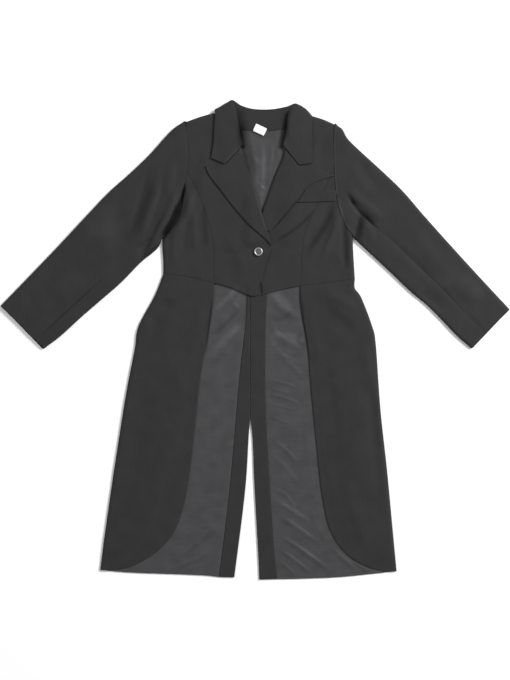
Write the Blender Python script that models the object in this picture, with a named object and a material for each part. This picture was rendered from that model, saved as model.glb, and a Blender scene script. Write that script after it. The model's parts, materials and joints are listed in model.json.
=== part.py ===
"""A woman's black one-button tailcoat, laid flat on its back, face up.

Every cut-and-sewn piece is one solid. The collar points to +Y and the tails to -Y; right and left are
the wearer's, so the right side lies at -X. All sizes below are millimetres.
"""

import math
from collections import namedtuple

import bmesh
import bpy
from mathutils import Vector
from mathutils.geometry import delaunay_2d_cdt

MM = 0.001

# Cloth
CLOTH = 1.5
LINING_CLOTH = 1.0
LAPEL_CLOTH = 2.0
COLLAR_CLOTH = 1.8
SEAM_GAP = 0.3
EDGE_INSET = 0.7 * SEAM_GAP
LAY_GAP = 1.0

# Heights above the surface that the coat lies on
LINING_TOP = CLOTH + SEAM_GAP + LINING_CLOTH
FACING_TOP = CLOTH + SEAM_GAP + CLOTH
FRONT_TOP = 6.8
SKIRT_EDGE_TOP = FACING_TOP + SEAM_GAP + CLOTH
SLEEVE_TOP = 6.6
FOLD_RADIUS = 8.0
FOLD_DEPTHS = (1.6, 7.2)
SLEEVE_FOLD_RADIUS = 6.0
SKIRT_RISE = 70.0
SKIRT_HIP = 50.0
PANEL_SPACING = 26
SKIRT_SPACING = 40

# Where the right front laps over the left one
LAP_DROP = 1.4
LAP_START_X = 90.0
LAP_BLEND = 50.0
LAP_RISE = 0.4
LAP_RISE_X = -60.0
LAP_RISE_BLEND = 40.0
LAPEL_LIFT = 3.4
LIFT_LEFT_X = -35.0
LIFT_LOW_Y = 206.0
LIFT_HIGH_Y = 350.0
LIFT_BLENDS = (30.0, 22.0, 40.0)

# Button, welt and label
BUTTON_AT = (9.0, 201.5)
BUTTON_RADIUS = 9.7
BUTTON_CENTRE_RADIUS = 6.2
BUTTON_HEIGHT = 3.2
BUTTON_CENTRE_HEIGHT = 1.9
BUTTON_SIDES = 32
BUTTON_BEVEL = 0.9
BUTTON_CENTRE_FLAT = 5.2
BUTTON_CENTRE_EDGE = 1.4
BUTTON_SHANK = 1.5
LABEL_SIZE = (28.0, 18.5)
LABEL_AT = (12.5, 481.5)
LABEL_TURN = math.radians(-25)
LABEL_CLOTH = 1.0
LABEL_LOW = (462.0, 5.6)
LABEL_SLOPE = 0.055

# How far lining runs on under a skirt front
LINING_REACH = 28.0
LINING_MARGIN = 12.0
LINING_HIGHEST = 140
LINING_SIDE_RIGHT = 340
LINING_SIDE_LEFT = 308
LINING_CORNER = 8
HEM_END = 0.97
NECK_LINING = ((-27, 483), (70, 483), (92, 440), (70, 330), (40, 272), (-14, 272), (-34, 330), (-58, 440))

BLACK_CLOTH = ((0.024, 0.024, 0.0245), 0.85, 0.0)
GREY_LINING = ((0.040, 0.0395, 0.042), 0.45, 0.0)
WHITE_LABEL = ((0.85, 0.84, 0.83), 0.7, 0.0)
SILVER = ((0.55, 0.55, 0.53), 0.4, 1.0)
DARK_GLOSS = ((0.05, 0.05, 0.05), 0.3, 0.0)


def smooth(points, steps=2):
    """A polyline along the Catmull-Rom curve through hand-set (x, y) points."""
    knots = [Vector(p) for p in points]
    ends = [2 * knots[0] - knots[1]] + knots + [2 * knots[-1] - knots[-2]]
    line = []
    for before, start, end, after in zip(ends, ends[1:], ends[2:], ends[3:]):
        for step in range(steps):
            t = step / steps
            line.append(
                start
                + 0.5 * t * (end - before)
                + t * t * (before - 2.5 * start + 2 * end - 0.5 * after)
                + t * t * t * (1.5 * (start - end) + 0.5 * (after - before))
            )
    return line + [knots[-1]]


def straight(points):
    return [Vector(p) for p in points]


# ---- Seam lines and edges, as (x, y) ----

# Armholes, from the armpit up to the shoulder; the body leaves them at the junction vertex
ARMHOLE_RIGHT = smooth([(-212, 237), (-178, 298), (-162, 355), (-153, 424), (-158, 500)])
ARMHOLE_LEFT = smooth([(226, 236), (207, 272), (190, 321), (184, 400), (183, 495)])
JUNCTION_RIGHT = 4
JUNCTION_LEFT = 0
PRINCESS_TOP_RIGHT = 5
PRINCESS_TOP_LEFT = 6

SHOULDER_RIGHT = smooth([(-158, 500), (-125, 512), (-93, 521)])
SHOULDER_LEFT = smooth([(183, 495), (158, 506), (132, 514)])

# Body sides: above the waist seam, then below it to the hem
SIDE_RIGHT = smooth(
    [(-162, 355), (-168, 302), (-181, 270), (-208, 233), (-212, 210), (-210, 178), (-210, 150)]
)
SIDE_RIGHT_LOW = SIDE_RIGHT[8:]
SIDE_LEFT = smooth([(226, 236), (227, 206), (229, 170), (231, 139)])
FLANK_RIGHT = smooth(
    [(-210, 150), (-230, 100), (-267, 30), (-276, -24), (-296, -128), (-323, -300), (-343, -438),
     (-355, -530)]
)
FLANK_LEFT = smooth(
    [(231, 139), (231, 118), (246, 96), (270, 33), (279, -10), (290, -162), (305, -300), (318, -438),
     (327, -533)]
)

WAIST_RIGHT = smooth([(-210, 150), (-160, 145), (-93, 130)])
WAIST_LEFT = smooth([(231, 139), (162, 130), (105, 123)])
PRINCESS_RIGHT = smooth([ARMHOLE_RIGHT[PRINCESS_TOP_RIGHT], (-125, 325), (-97, 229), (-93, 130)])
PRINCESS_LEFT = smooth([ARMHOLE_LEFT[PRINCESS_TOP_LEFT], (150, 322), (132, 286), (112, 229), (105, 123)])

# The free lower edges of the fronts, from the princess seam to the point
FRONT_HEM_RIGHT = smooth([(-93, 130), (-52, 118), (-15, 102), (3, 99)])
FRONT_HEM_LEFT = smooth([(105, 123), (70, 116), (36, 107), (15, 101), (-10, 98)])

# The roll of the collar and lapels down to the break point, and the front edge below it
ROLL_RIGHT = smooth([(-31, 441), (-20, 413), (-10, 378), (3, 344), (15, 298), (40, 214)])
ROLL_LEFT = smooth([(70, 441), (63, 413), (47, 378), (29, 328), (17, 293), (-6, 222)])
CLOSING_EDGE = smooth([(40, 214), (31, 178), (15, 125), (3, 99)])
UNDER_EDGE = straight([(-6, 222), (-10, 98)])
NECK_RIGHT = smooth([(-93, 521), (-74, 500), (-56, 468), (-38, 438)])
NECK_LEFT = smooth([(132, 514), (112, 496), (94, 468), (78, 438)])

SKIRT_EDGE_RIGHT = smooth(
    [(-93, 130), (-95, 86), (-109, -1), (-125, -93), (-137, -208), (-155, -346), (-181, -434), (-222, -486),
     (-282, -521), (-334, -531)]
)
SKIRT_EDGE_LEFT = smooth(
    [(105, 123), (107, 68), (121, -13), (130, -116), (141, -231), (155, -358), (176, -443), (215, -496),
     (261, -523), (303, -533)]
)
HEM_CORNER_RIGHT = straight([(-334, -531), (-355, -530)])
HEM_CORNER_LEFT = straight([(303, -533), (327, -533)])

# Tails: the vent, the seam of its facing, and the hem
CENTRE_X = -10
VENT_TOP = -179
VENT_RIGHT = smooth([(CENTRE_X, VENT_TOP), (-13.5, -231), (-19, -323), (-29, -415), (-41, -507), (-46, -547)])
VENT_LEFT = smooth([(CENTRE_X, VENT_TOP), (-4.5, -231), (-1, -323), (4, -415), (9, -507), (11, -552)])
FACING_RIGHT = smooth([(-17, 150), (-20, 45), (-33, -70), (-45, -208), (-56, -330), (-68, -438), (-82, -546)])
FACING_LEFT = smooth([(31, 150), (25, 22), (25, -139), (33, -300), (43, -461), (52, -551)])
HEM_RIGHT = smooth([(-46, -547), (-82, -546), (-125, -542), (-282, -536), (-355, -530)])
HEM_LEFT = smooth([(11, -552), (52, -551), (105, -550), (197, -546), (277, -538), (327, -533)])
NECK_SEAM_RIGHT = smooth([(CENTRE_X, 484), (-40, 486), (-68, 503), (-93, 521)])
NECK_SEAM_LEFT = smooth([(CENTRE_X, 484), (72, 486), (108, 500), (132, 514)])

# Lapels: the top edge from the gorge at the roll, past the notch, to the peak, then the outer edge
LAPEL_TOP_RIGHT = straight([(-31, 441), (-68, 401), (-113, 398)])
LAPEL_TOP_LEFT = straight([(70, 441), (102, 399), (135, 397), (187, 376)])
LAPEL_EDGE_RIGHT = smooth(
    [(-113, 398), (-105, 378), (-79, 344), (-49, 305), (-10, 261), (24, 231), (40, 214)]
)
LAPEL_EDGE_LEFT = smooth([(187, 376), (141, 361), (116, 344), (98, 315), (70, 282), (47, 259), (33, 246)])
LAPEL_TIP_LEFT = straight([(33, 246), (8, 262)])
WELT = straight([(98, 314), (187, 317), (187, 342), (117, 344)])

# Sleeves, from the cuff to the shoulder and from the cuff to the armpit
SLEEVE_UPPER_RIGHT = [
    (-582, 77), (-516, 145), (-447, 217), (-378, 291), (-332, 339), (-286, 380), (-239, 425), (-197, 472),
    (-177, 490), (-158, 500)
]
SLEEVE_LOWER_RIGHT = [
    (-483, -19), (-447, 8), (-401, 50), (-355, 90), (-309, 130), (-263, 177), (-237, 198), (-221, 214),
    (-212, 237)
]
SLEEVE_UPPER_LEFT = [
    (585, 69), (542, 115), (472, 191), (391, 281), (339, 341), (289, 389), (243, 431), (220, 453),
    (210, 465), (201, 482), (192, 489), (183, 495)
]
SLEEVE_LOWER_LEFT = [(497, -18), (464, 11), (405, 72), (359, 111), (313, 155), (270, 195), (226, 236)]
SLEEVE_SEAM_RIGHT = 0.2
SLEEVE_SEAM_LEFT = 0.37
SLEEVE_ROWS = 13
# A sleeve's fold, from the surface up: shares of its radius and of the sleeve's height
SLEEVE_FOLD = ((0.05, 0.35), (0.25, 0.8), (1.0, 1.0))
UPPER_FOLD_SHARE = 0.99
LOWER_FOLD_INSET = 0.3
FOLD_MARGIN = 0.08
SEAM_MARGIN = 0.03
ARMHOLE_GAP = 1.2

# The collar, station by station from the right gorge round the neck to the left one. Roll, mid and edge
# are points of the fall; seam and stand_z set the stand inside it.
Station = namedtuple("Station", "roll mid edge seam stand_z")
COLLAR = [
    Station((-31, 441, 10.0), (-68, 403, 9.3), (-100, 416, 9.1), (-25, 438, 3.9), 8.6),
    Station((-36, 466, 11.0), (-66, 440, 10.2), (-94, 447, 9.1), (-29, 462, 3.9), 9.6),
    Station((-41, 500, 12.0), (-68, 490, 10.8), (-92, 484, 9.2), (-33, 482, 3.9), 10.6),
    Station((-45, 528, 11.5), (-70, 518, 10.2), (-90, 512, 9.2), (-33, 485, 3.9), 10.0),
    Station((-52, 549, 9.0), (-71, 537, 7.2), (-88, 527, 5.6), (-29, 485, 3.9), 8.8),
    Station((-34, 538, 4.5), (-42, 520, 0.0), (-52, 501, 0.0), (-20, 485, 3.9), 7.6),
    Station((-10, 532, 3.2), (-12, 509, 0.0), (-16, 489, 0.0), (-5, 485, 3.9), 6.8),
    Station((17, 530, 3.0), (17, 508, 0.0), (17, 489, 0.0), (18, 485, 3.9), 6.6),
    Station((46, 531, 3.2), (48, 509, 0.0), (54, 490, 0.0), (42, 485, 3.9), 6.8),
    Station((76, 535, 4.5), (86, 518, 0.0), (96, 504, 0.0), (62, 486, 3.9), 7.6),
    Station((94, 540, 9.0), (114, 530, 7.2), (129, 512, 5.6), (71, 487, 3.9), 8.8),
    Station((81, 518, 11.5), (108, 510, 10.2), (132, 500, 9.2), (74, 486, 3.9), 10.0),
    Station((80, 490, 12.0), (107, 480, 10.8), (132, 470, 9.2), (73, 478, 3.9), 10.6),
    Station((75, 462, 11.0), (104, 440, 10.2), (133, 440, 9.1), (68, 458, 3.9), 9.6),
    Station((70, 441, 10.0), (103, 400, 9.3), (134, 405, 9.1), (64, 438, 3.9), 8.6),
]
COLLAR_CENTRE = Vector((21, 470))
STAND_INSET = 6.5


# The largest folds of the cloth: a ridge is higher than 0 and a trough lower, fading over half its width
Fold = namedtuple("Fold", "start end half_width height")
FOLDS = [
    Fold((-240, 400), (-292, 228), 30, -1.4),
    Fold((-212, 360), (-258, 240), 28, 1.6),
    Fold((-362, 270), (-330, 250), 60, 1.4),
    Fold((470, 130), (495, 95), 60, 1.4),
    Fold((372, 225), (420, 175), 45, -1.0),
    Fold((185, 318), (112, 196), 26, -1.6),
    Fold((205, 270), (158, 170), 26, 1.8),
    Fold((-122, 305), (-116, 235), 30, -1.0),
    Fold((150, 79), (228, 20), 34, -1.4),
    Fold((165, 115), (238, 60), 30, 1.2),
    Fold((-190, 92), (-246, 42), 34, -1.2),
    Fold((-160, -40), (-200, -330), 50, 1.0),
    Fold((215, -60), (245, -360), 50, 1.0),
]


# ---- Shape tools ----


def ease(t):
    t = min(max(t, 0.0), 1.0)
    return t * t * (3 - 2 * t)


def distance(point, line):
    """How far a plan point is from a polyline."""
    return min(
        (point - (a + (b - a) * min(max((point - a).dot(b - a) / (b - a).length_squared, 0), 1))).length
        for a, b in zip(line, line[1:])
    )


def outline(*edges):
    """The edges end to end as one closed counter-clockwise loop without doubled corners."""
    loop = []
    for point in (p for edge in edges for p in edge):
        if not loop or (point - loop[-1]).length > 0.01:
            loop.append(point)
    if (loop[0] - loop[-1]).length < 0.01:
        loop.pop()
    area = sum(a.cross(b) for a, b in zip(loop, loop[1:] + loop[:1]))
    return loop if area > 0 else loop[::-1]


def inset(loop, by):
    """The loop moved in along its mitred corners."""
    moved = []
    for before, point, after in zip(loop[-1:] + loop[:-1], loop, loop[1:] + loop[:1]):
        first = (point - before).normalized().orthogonal()
        second = (after - point).normalized().orthogonal()
        mitre = first + second
        moved.append(point + mitre * by / max(0.5 * mitre.length_squared, 0.35))
    return moved


def made(name, points, faces, finish):
    """The piece's object, from points in millimetres, with its finish."""
    mesh = bpy.data.meshes.new(name)
    mesh.from_pydata([p * MM for p in points], [], faces)
    form = bmesh.new()
    form.from_mesh(mesh)
    bmesh.ops.remove_doubles(form, verts=form.verts, dist=1e-6)
    bmesh.ops.recalc_face_normals(form, faces=form.faces)
    bmesh.ops.triangulate(form, faces=form.faces)
    form.to_mesh(mesh)
    form.free()
    piece = bpy.data.objects.new(name, mesh)
    bpy.context.scene.collection.objects.link(piece)
    colour, roughness, metallic = finish
    material = bpy.data.materials.new(name)
    material.use_nodes = True
    shader = material.node_tree.nodes["Principled BSDF"]
    shader.inputs["Base Color"].default_value = (*colour, 1)
    shader.inputs["Roughness"].default_value = roughness
    shader.inputs["Metallic"].default_value = metallic
    mesh.materials.append(material)


def closed_solid(name, outer, inner, faces, finish):
    """One solid from an outer skin, its inner skin and the rim between them."""
    count = len(outer)
    sides = {(a, b) for face in faces for a, b in zip(face, face[1:] + face[:1])}
    rim = [(b, a, a + count, b + count) for a, b in sorted(sides) if (b, a) not in sides]
    made(name, outer + inner, faces + [[i + count for i in reversed(face)] for face in faces] + rim, finish)


def moved_in(points, faces, wall, towards):
    """Each point moved back by the wall against its skin's normal; towards is how the first face looks."""
    normals = [Vector((0, 0, 0)) for _ in points]
    for face in faces:
        a, b, c = (points[i] for i in face[:3])
        turn = (b - a).cross(c - a)
        for i in face:
            normals[i] += turn
    a, b, c = (points[i] for i in faces[0][:3])
    sign = 1 if (b - a).cross(c - a).dot(towards) > 0 else -1
    return [p - n.normalized() * wall * sign for p, n in zip(points, normals)]


def grid_points(loop, spacing):
    """Plan points inside a loop at a spacing, clear of its edge."""
    closed = loop + loop[:1]
    low_x, high_x = min(p.x for p in loop), max(p.x for p in loop)
    low_y, high_y = min(p.y for p in loop), max(p.y for p in loop)
    found = []
    for row in range(1, int((high_y - low_y) / spacing) + 1):
        for column in range(1, int((high_x - low_x) / spacing) + 1):
            point = Vector((low_x + (column - 0.5 * (row % 2)) * spacing, low_y + (row - 0.5) * spacing))
            if distance(point, closed) > 0.4 * spacing:
                found.append(point)
    return found


def panel(name, loop, top, wall, finish, rests=None, folds=(), spacing=0):
    """A flat-lying piece cut to a loop. top gives its height at (x, y); its folded edges roll down to
    what it rests on."""
    ring = inset(loop, EDGE_INSET)
    points = list(ring)
    lines = [(i, (i + 1) % len(ring)) for i in range(len(ring))]
    for depth in FOLD_DEPTHS if folds else ():
        latest = None
        for point, inner in zip(ring, inset(loop, EDGE_INSET + depth)):
            on_fold = min(distance(point, fold) for fold in folds) < 1
            if not on_fold or distance(inner, ring + ring[:1]) < 0.8 * depth:
                latest = None
                continue
            points.append(inner)
            if latest is not None:
                lines.append((latest, len(points) - 1))
            latest = len(points) - 1
    if spacing:
        points += grid_points(ring, spacing)
    plan, _, faces, _, _, _ = delaunay_2d_cdt(points, lines, [], 1, 1e-4)
    faces = [list(face) for face in faces]

    def height(point):
        full = top(point.x, point.y)
        if not folds:
            return full
        depth = min(distance(point, fold) for fold in folds) - EDGE_INSET
        bend = 1 - min(max(depth, 0) / FOLD_RADIUS, 1)
        return rests + (full - rests) * math.sqrt(1 - bend * bend)

    skin = [Vector((p.x, p.y, height(p))) for p in plan]
    if rests is None:
        back = [p - Vector((0, 0, wall)) for p in skin]
    else:
        back = [Vector((p.x, p.y, max(p.z, rests))) for p in moved_in(skin, faces, wall, Vector((0, 0, 1)))]
    closed_solid(name, skin, back, faces, finish)


def loft(name, rows, wall, finish, towards, floor=None):
    """A piece through rows of points, its wall on the side away from towards."""
    columns = len(rows[0])
    points = [p for row in rows for p in row]
    faces = [
        [r * columns + c, r * columns + c + 1, (r + 1) * columns + c + 1, (r + 1) * columns + c]
        for r in range(len(rows) - 1)
        for c in range(columns - 1)
    ]
    back = moved_in(points, faces, wall, towards)
    if floor is not None:
        back = [Vector((p.x, p.y, max(p.z, floor))) for p in back]
    closed_solid(name, points, back, faces, finish)


def along(points, t):
    """The point at fraction t of a polyline's length."""
    lengths = [(b - a).length for a, b in zip(points, points[1:])]
    left = t * sum(lengths)
    for a, b, length in zip(points, points[1:], lengths):
        if left <= length + 1e-9:
            return a + (b - a) * (left / length)
        left -= length
    return points[-1]


# ---- Heights ----


def fold_height(x, y):
    """What the folds add at a plan point."""
    point = Vector((x, y))
    total = 0
    for row in FOLDS:
        reach = distance(point, [Vector(row.start), Vector(row.end)]) / row.half_width
        total += row.height * (1 - ease(reach))
    return total


def folded(top):
    return lambda x, y: top(x, y) + fold_height(x, y)


def left_front_top(x, y):
    return FRONT_TOP - LAP_DROP * ease((LAP_START_X - x) / LAP_BLEND)


def right_front_top(x, y):
    across, low, high = LIFT_BLENDS
    over_lapel = ease((x - LIFT_LEFT_X) / across) * ease((y - LIFT_LOW_Y) / low)
    over_lapel *= ease((LIFT_HIGH_Y - y) / high)
    return FRONT_TOP + LAP_RISE * ease((x - LAP_RISE_X) / LAP_RISE_BLEND) + LAPEL_LIFT * over_lapel


def skirt_top(edge):
    """Skirts rise from the lining at their free edge to the height of the fronts."""

    def top(x, y):
        rise = max(ease(distance(Vector((x, y)), edge) / SKIRT_RISE), ease((y - SKIRT_HIP) / SKIRT_RISE))
        return SKIRT_EDGE_TOP + (FRONT_TOP - SKIRT_EDGE_TOP) * rise

    return top


def raised(top, rise):
    return lambda x, y: top(x, y) + rise


def label_top(x, y):
    low_y, low_z = LABEL_LOW
    return low_z + LABEL_SLOPE * (y - low_y)


def level(height):
    return lambda x, y: height


# ---- Pieces ----


def backs():
    for side, armhole, body, flank, shoulder, neck, vent, hem in (
        (
            "right", ARMHOLE_RIGHT, SIDE_RIGHT_LOW, FLANK_RIGHT, SHOULDER_RIGHT, NECK_SEAM_RIGHT, VENT_RIGHT,
            HEM_RIGHT
        ),
        ("left", ARMHOLE_LEFT, SIDE_LEFT, FLANK_LEFT, SHOULDER_LEFT, NECK_SEAM_LEFT, VENT_LEFT, HEM_LEFT),
    ):
        loop = outline(vent[:1], neck, shoulder[::-1], armhole[::-1], body, flank, hem[::-1], vent[::-1])
        panel(f"back_{side}", loop, level(CLOTH), CLOTH, BLACK_CLOTH)


def linings():
    panel("back_lining", outline(straight(NECK_LINING)), level(LINING_TOP), LINING_CLOTH, GREY_LINING)
    for side, sign, facing, edge, hem, limit in (
        ("right", -1, FACING_RIGHT, SKIRT_EDGE_RIGHT, HEM_RIGHT, LINING_SIDE_RIGHT),
        ("left", 1, FACING_LEFT, SKIRT_EDGE_LEFT, HEM_LEFT, LINING_SIDE_LEFT),
    ):
        hidden = [
            Vector((sign * min(abs(p.x) + LINING_REACH, limit), min(p.y + LINING_MARGIN, LINING_HIGHEST)))
            for p in edge[:-1]
        ]
        seam_end = next(i for i, p in enumerate(hem) if (p - facing[-1]).length < 1)
        hem_line = [p for p in hem[seam_end:] if abs(p.x) < limit - LINING_CORNER]
        corner = Vector((sign * limit, along(hem, HEM_END).y))
        loop = outline(facing, hem_line, [corner], hidden[::-1])
        panel(f"tail_lining_{side}", loop, level(LINING_TOP), LINING_CLOTH, GREY_LINING)


def facings():
    for side, facing, vent, hem in (
        ("right", FACING_RIGHT, VENT_RIGHT, HEM_RIGHT),
        ("left", FACING_LEFT, VENT_LEFT, HEM_LEFT),
    ):
        seam_end = next(i for i, p in enumerate(hem) if (p - facing[-1]).length < 1)
        top = [Vector((CENTRE_X, facing[0].y))]
        loop = outline(facing, hem[: seam_end + 1][::-1], vent[::-1], top)
        panel(f"vent_facing_{side}", loop, level(FACING_TOP), CLOTH, BLACK_CLOTH)


def fronts():
    rests = CLOTH + SEAM_GAP
    right_folds = (SIDE_RIGHT, FLANK_RIGHT, SHOULDER_RIGHT)
    left_folds = (SIDE_LEFT, FLANK_LEFT, SHOULDER_LEFT)
    right = outline(
        PRINCESS_RIGHT, FRONT_HEM_RIGHT, CLOSING_EDGE[::-1], ROLL_RIGHT[::-1], NECK_RIGHT[::-1],
        SHOULDER_RIGHT[::-1], ARMHOLE_RIGHT[PRINCESS_TOP_RIGHT + 1:][::-1]
    )
    top = folded(right_front_top)
    panel("front_right", right, top, CLOTH, BLACK_CLOTH, rests, right_folds, PANEL_SPACING)
    armhole = ARMHOLE_RIGHT[JUNCTION_RIGHT: PRINCESS_TOP_RIGHT]
    side = outline(PRINCESS_RIGHT, WAIST_RIGHT[::-1], SIDE_RIGHT[::-1], armhole)
    panel("side_front_right", side, top, CLOTH, BLACK_CLOTH, rests, right_folds, PANEL_SPACING)
    left = outline(
        PRINCESS_LEFT, FRONT_HEM_LEFT, UNDER_EDGE[::-1], ROLL_LEFT[::-1], NECK_LEFT[::-1],
        SHOULDER_LEFT[::-1], ARMHOLE_LEFT[PRINCESS_TOP_LEFT + 1:][::-1]
    )
    top = folded(left_front_top)
    panel("front_left", left, top, CLOTH, BLACK_CLOTH, rests, left_folds, PANEL_SPACING)
    armhole = ARMHOLE_LEFT[JUNCTION_LEFT: PRINCESS_TOP_LEFT]
    side = outline(PRINCESS_LEFT, WAIST_LEFT[::-1], SIDE_LEFT[::-1], armhole)
    panel("side_front_left", side, top, CLOTH, BLACK_CLOTH, rests, left_folds, PANEL_SPACING)


def skirts():
    for side, body, flank, waist, edge, corner in (
        ("right", SIDE_RIGHT, FLANK_RIGHT, WAIST_RIGHT, SKIRT_EDGE_RIGHT, HEM_CORNER_RIGHT),
        ("left", SIDE_LEFT, FLANK_LEFT, WAIST_LEFT, SKIRT_EDGE_LEFT, HEM_CORNER_LEFT),
    ):
        loop = outline(waist, edge, corner, flank[::-1])
        top = folded(skirt_top(edge))
        panel(f"skirt_{side}", loop, top, CLOTH, BLACK_CLOTH, CLOTH + SEAM_GAP, (body, flank), SKIRT_SPACING)


def sleeve_grid(lower, upper, armhole, profile):
    """Rows from cuff to armhole; profile lists (fraction across, mm in from that fraction, height)."""
    rows = []
    for row in range(SLEEVE_ROWS):
        t = row / (SLEEVE_ROWS - 1)
        low, high = along(lower, t), along(upper, t)
        across = (high - low).normalized()
        points = []
        for fraction, shift, height in profile:
            place = low.lerp(high, fraction)
            index = min(fraction, 0.9999) * (len(armhole) - 1)
            cell = int(index)
            on_seam = armhole[cell].lerp(armhole[cell + 1], index - cell)
            place += (on_seam - armhole[0].lerp(armhole[-1], fraction)) * t**4
            place += across * shift
            if height == SLEEVE_TOP:
                height += fold_height(place.x, place.y)
            points.append(Vector((place.x, place.y, height)))
        rows.append(points)
    rows[-1] = [p + (inner - p).normalized() * ARMHOLE_GAP for p, inner in zip(rows[-1], rows[-2])]
    return rows


def sleeves():
    for side, lower, upper, armhole, seam in (
        ("right", SLEEVE_LOWER_RIGHT, SLEEVE_UPPER_RIGHT, ARMHOLE_RIGHT, SLEEVE_SEAM_RIGHT),
        ("left", SLEEVE_LOWER_LEFT, SLEEVE_UPPER_LEFT, ARMHOLE_LEFT, SLEEVE_SEAM_LEFT),
    ):
        lower, upper = smooth(lower), smooth(upper)
        steps = len(armhole) - 1
        even = [i / steps for i in range(steps + 1)]
        fold = [(0, out * SLEEVE_FOLD_RADIUS, up * SLEEVE_TOP) for out, up in SLEEVE_FOLD]
        under = [(f, 0, 0) for f in reversed(even[1:])]
        under += [(0, LOWER_FOLD_INSET * SLEEVE_FOLD_RADIUS, 0)] + fold
        under += [(f, 0, SLEEVE_TOP) for f in even if FOLD_MARGIN < f < seam - SEAM_MARGIN]
        under += [(seam, -SEAM_GAP / 2, SLEEVE_TOP)]
        rows = sleeve_grid(lower, upper, armhole, under)
        loft(f"under_sleeve_{side}", rows, CLOTH, BLACK_CLOTH, Vector((0, 0, -1)))
        bottom = CLOTH + SEAM_GAP
        over = [(seam, SEAM_GAP / 2, SLEEVE_TOP)]
        over += [(f, 0, SLEEVE_TOP) for f in even[:-1] if f > seam + SEAM_MARGIN]
        for _, shift, z in reversed(fold):
            if z > bottom:
                over.append((1, -shift, bottom + (z - bottom) * UPPER_FOLD_SHARE))
        over += [(1, 0, bottom)]
        rows = sleeve_grid(lower, upper, armhole, over)
        loft(f"top_sleeve_{side}", rows, CLOTH, BLACK_CLOTH, Vector((0, 0, 1)), bottom)


def lapels():
    rise = LAY_GAP + LAPEL_CLOTH
    right = outline(LAPEL_TOP_RIGHT, LAPEL_EDGE_RIGHT, ROLL_RIGHT[::-1])
    roll = [p for p in ROLL_LEFT if p.y > LAPEL_TIP_LEFT[-1].y]
    left = outline(LAPEL_TOP_LEFT, LAPEL_EDGE_LEFT, LAPEL_TIP_LEFT, roll[::-1])
    for side, loop, top in (("right", right, right_front_top), ("left", left, left_front_top)):
        panel(f"lapel_{side}", loop, raised(top, rise), LAPEL_CLOTH, BLACK_CLOTH, spacing=PANEL_SPACING)


def collar():
    fall_rows, stand_rows = [], []
    for station in COLLAR:
        at_gorge = station in (COLLAR[0], COLLAR[-1])
        roll, mid, edge, seam = (Vector(p) for p in (station.roll, station.mid, station.edge, station.seam))
        fall = []
        for t in (0, 0.25, 0.5, 0.75, 1):
            point = roll * (1 - t) * (1 - 2 * t) + mid * 4 * t * (1 - t) + edge * t * (2 * t - 1)
            if at_gorge:
                point = roll.lerp(mid, 2 * t) if t < 0.5 else mid.lerp(edge, 2 * t - 1)
            fall.append(Vector((point.x, point.y, max(point.z, 0))))
        fall_rows.append(fall)
        inward = (COLLAR_CENTRE - roll.xy).normalized() * STAND_INSET
        top = Vector((roll.x + inward.x, roll.y + inward.y, station.stand_z))
        stand_rows.append([top.lerp(seam, t) for t in (0, 0.3, 0.6, 1)])
    for rows in (fall_rows, stand_rows):
        for end, near in ((0, 1), (-1, -2)):
            pairs = zip(rows[end], rows[near])
            rows[end] = [p + (inner - p).normalized() * 2 * SEAM_GAP for p, inner in pairs]
    loft("collar_leaf", fall_rows, COLLAR_CLOTH, BLACK_CLOTH, Vector((0, 0, 1)))
    loft("collar_stand", stand_rows, CLOTH, BLACK_CLOTH, Vector((0, 0, 1)))


def trims():
    panel("breast_welt", outline(WELT), raised(left_front_top, LAY_GAP + CLOTH), CLOTH, BLACK_CLOTH)
    across, down = (Vector((math.cos(a), math.sin(a))) for a in (LABEL_TURN, LABEL_TURN - math.pi / 2))
    corners = [
        Vector(LABEL_AT) + across * LABEL_SIZE[0] / 2 * sx + down * LABEL_SIZE[1] / 2 * sy
        for sx, sy in ((-1, -1), (1, -1), (1, 1), (-1, 1))
    ]
    panel("neck_label", outline(corners), label_top, LABEL_CLOTH, WHITE_LABEL)


def turned(name, profile, finish):
    """A round piece about the button's axis from (radius, height) points, closed on itself."""
    base = right_front_top(*BUTTON_AT) + BUTTON_SHANK
    rows = []
    for i in range(BUTTON_SIDES):
        turn = 2 * math.pi * i / BUTTON_SIDES
        rows.append(
            [
                Vector((BUTTON_AT[0] + r * math.cos(turn), BUTTON_AT[1] + r * math.sin(turn), base + z))
                for r, z in profile
            ]
        )
    count = len(profile)
    faces = []
    for i in range(BUTTON_SIDES):
        after = (i + 1) % BUTTON_SIDES
        for c in range(count if profile[0][0] > 0 else count - 1):
            d = (c + 1) % count
            faces.append([i * count + c, i * count + d, after * count + d, after * count + c])
    made(name, [p for row in rows for p in row], faces, finish)


def button():
    inner = BUTTON_CENTRE_RADIUS + SEAM_GAP
    rim = [
        (inner, 0), (BUTTON_RADIUS - BUTTON_BEVEL, 0), (BUTTON_RADIUS, BUTTON_BEVEL),
        (BUTTON_RADIUS, BUTTON_HEIGHT - BUTTON_BEVEL), (BUTTON_RADIUS - BUTTON_BEVEL, BUTTON_HEIGHT),
        (inner + BUTTON_BEVEL, BUTTON_HEIGHT), (inner, BUTTON_CENTRE_HEIGHT)
    ]
    turned("button_rim", rim, SILVER)
    centre = [
        (0, 0), (BUTTON_CENTRE_RADIUS, 0), (BUTTON_CENTRE_RADIUS, BUTTON_CENTRE_EDGE),
        (BUTTON_CENTRE_FLAT, BUTTON_CENTRE_HEIGHT), (0, BUTTON_CENTRE_HEIGHT)
    ]
    turned("button_centre", centre, DARK_GLOSS)


for old in list(bpy.data.objects):
    bpy.data.objects.remove(old, do_unlink=True)
backs()
linings()
facings()
fronts()
skirts()
sleeves()
lapels()
collar()
trims()
button()
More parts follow.
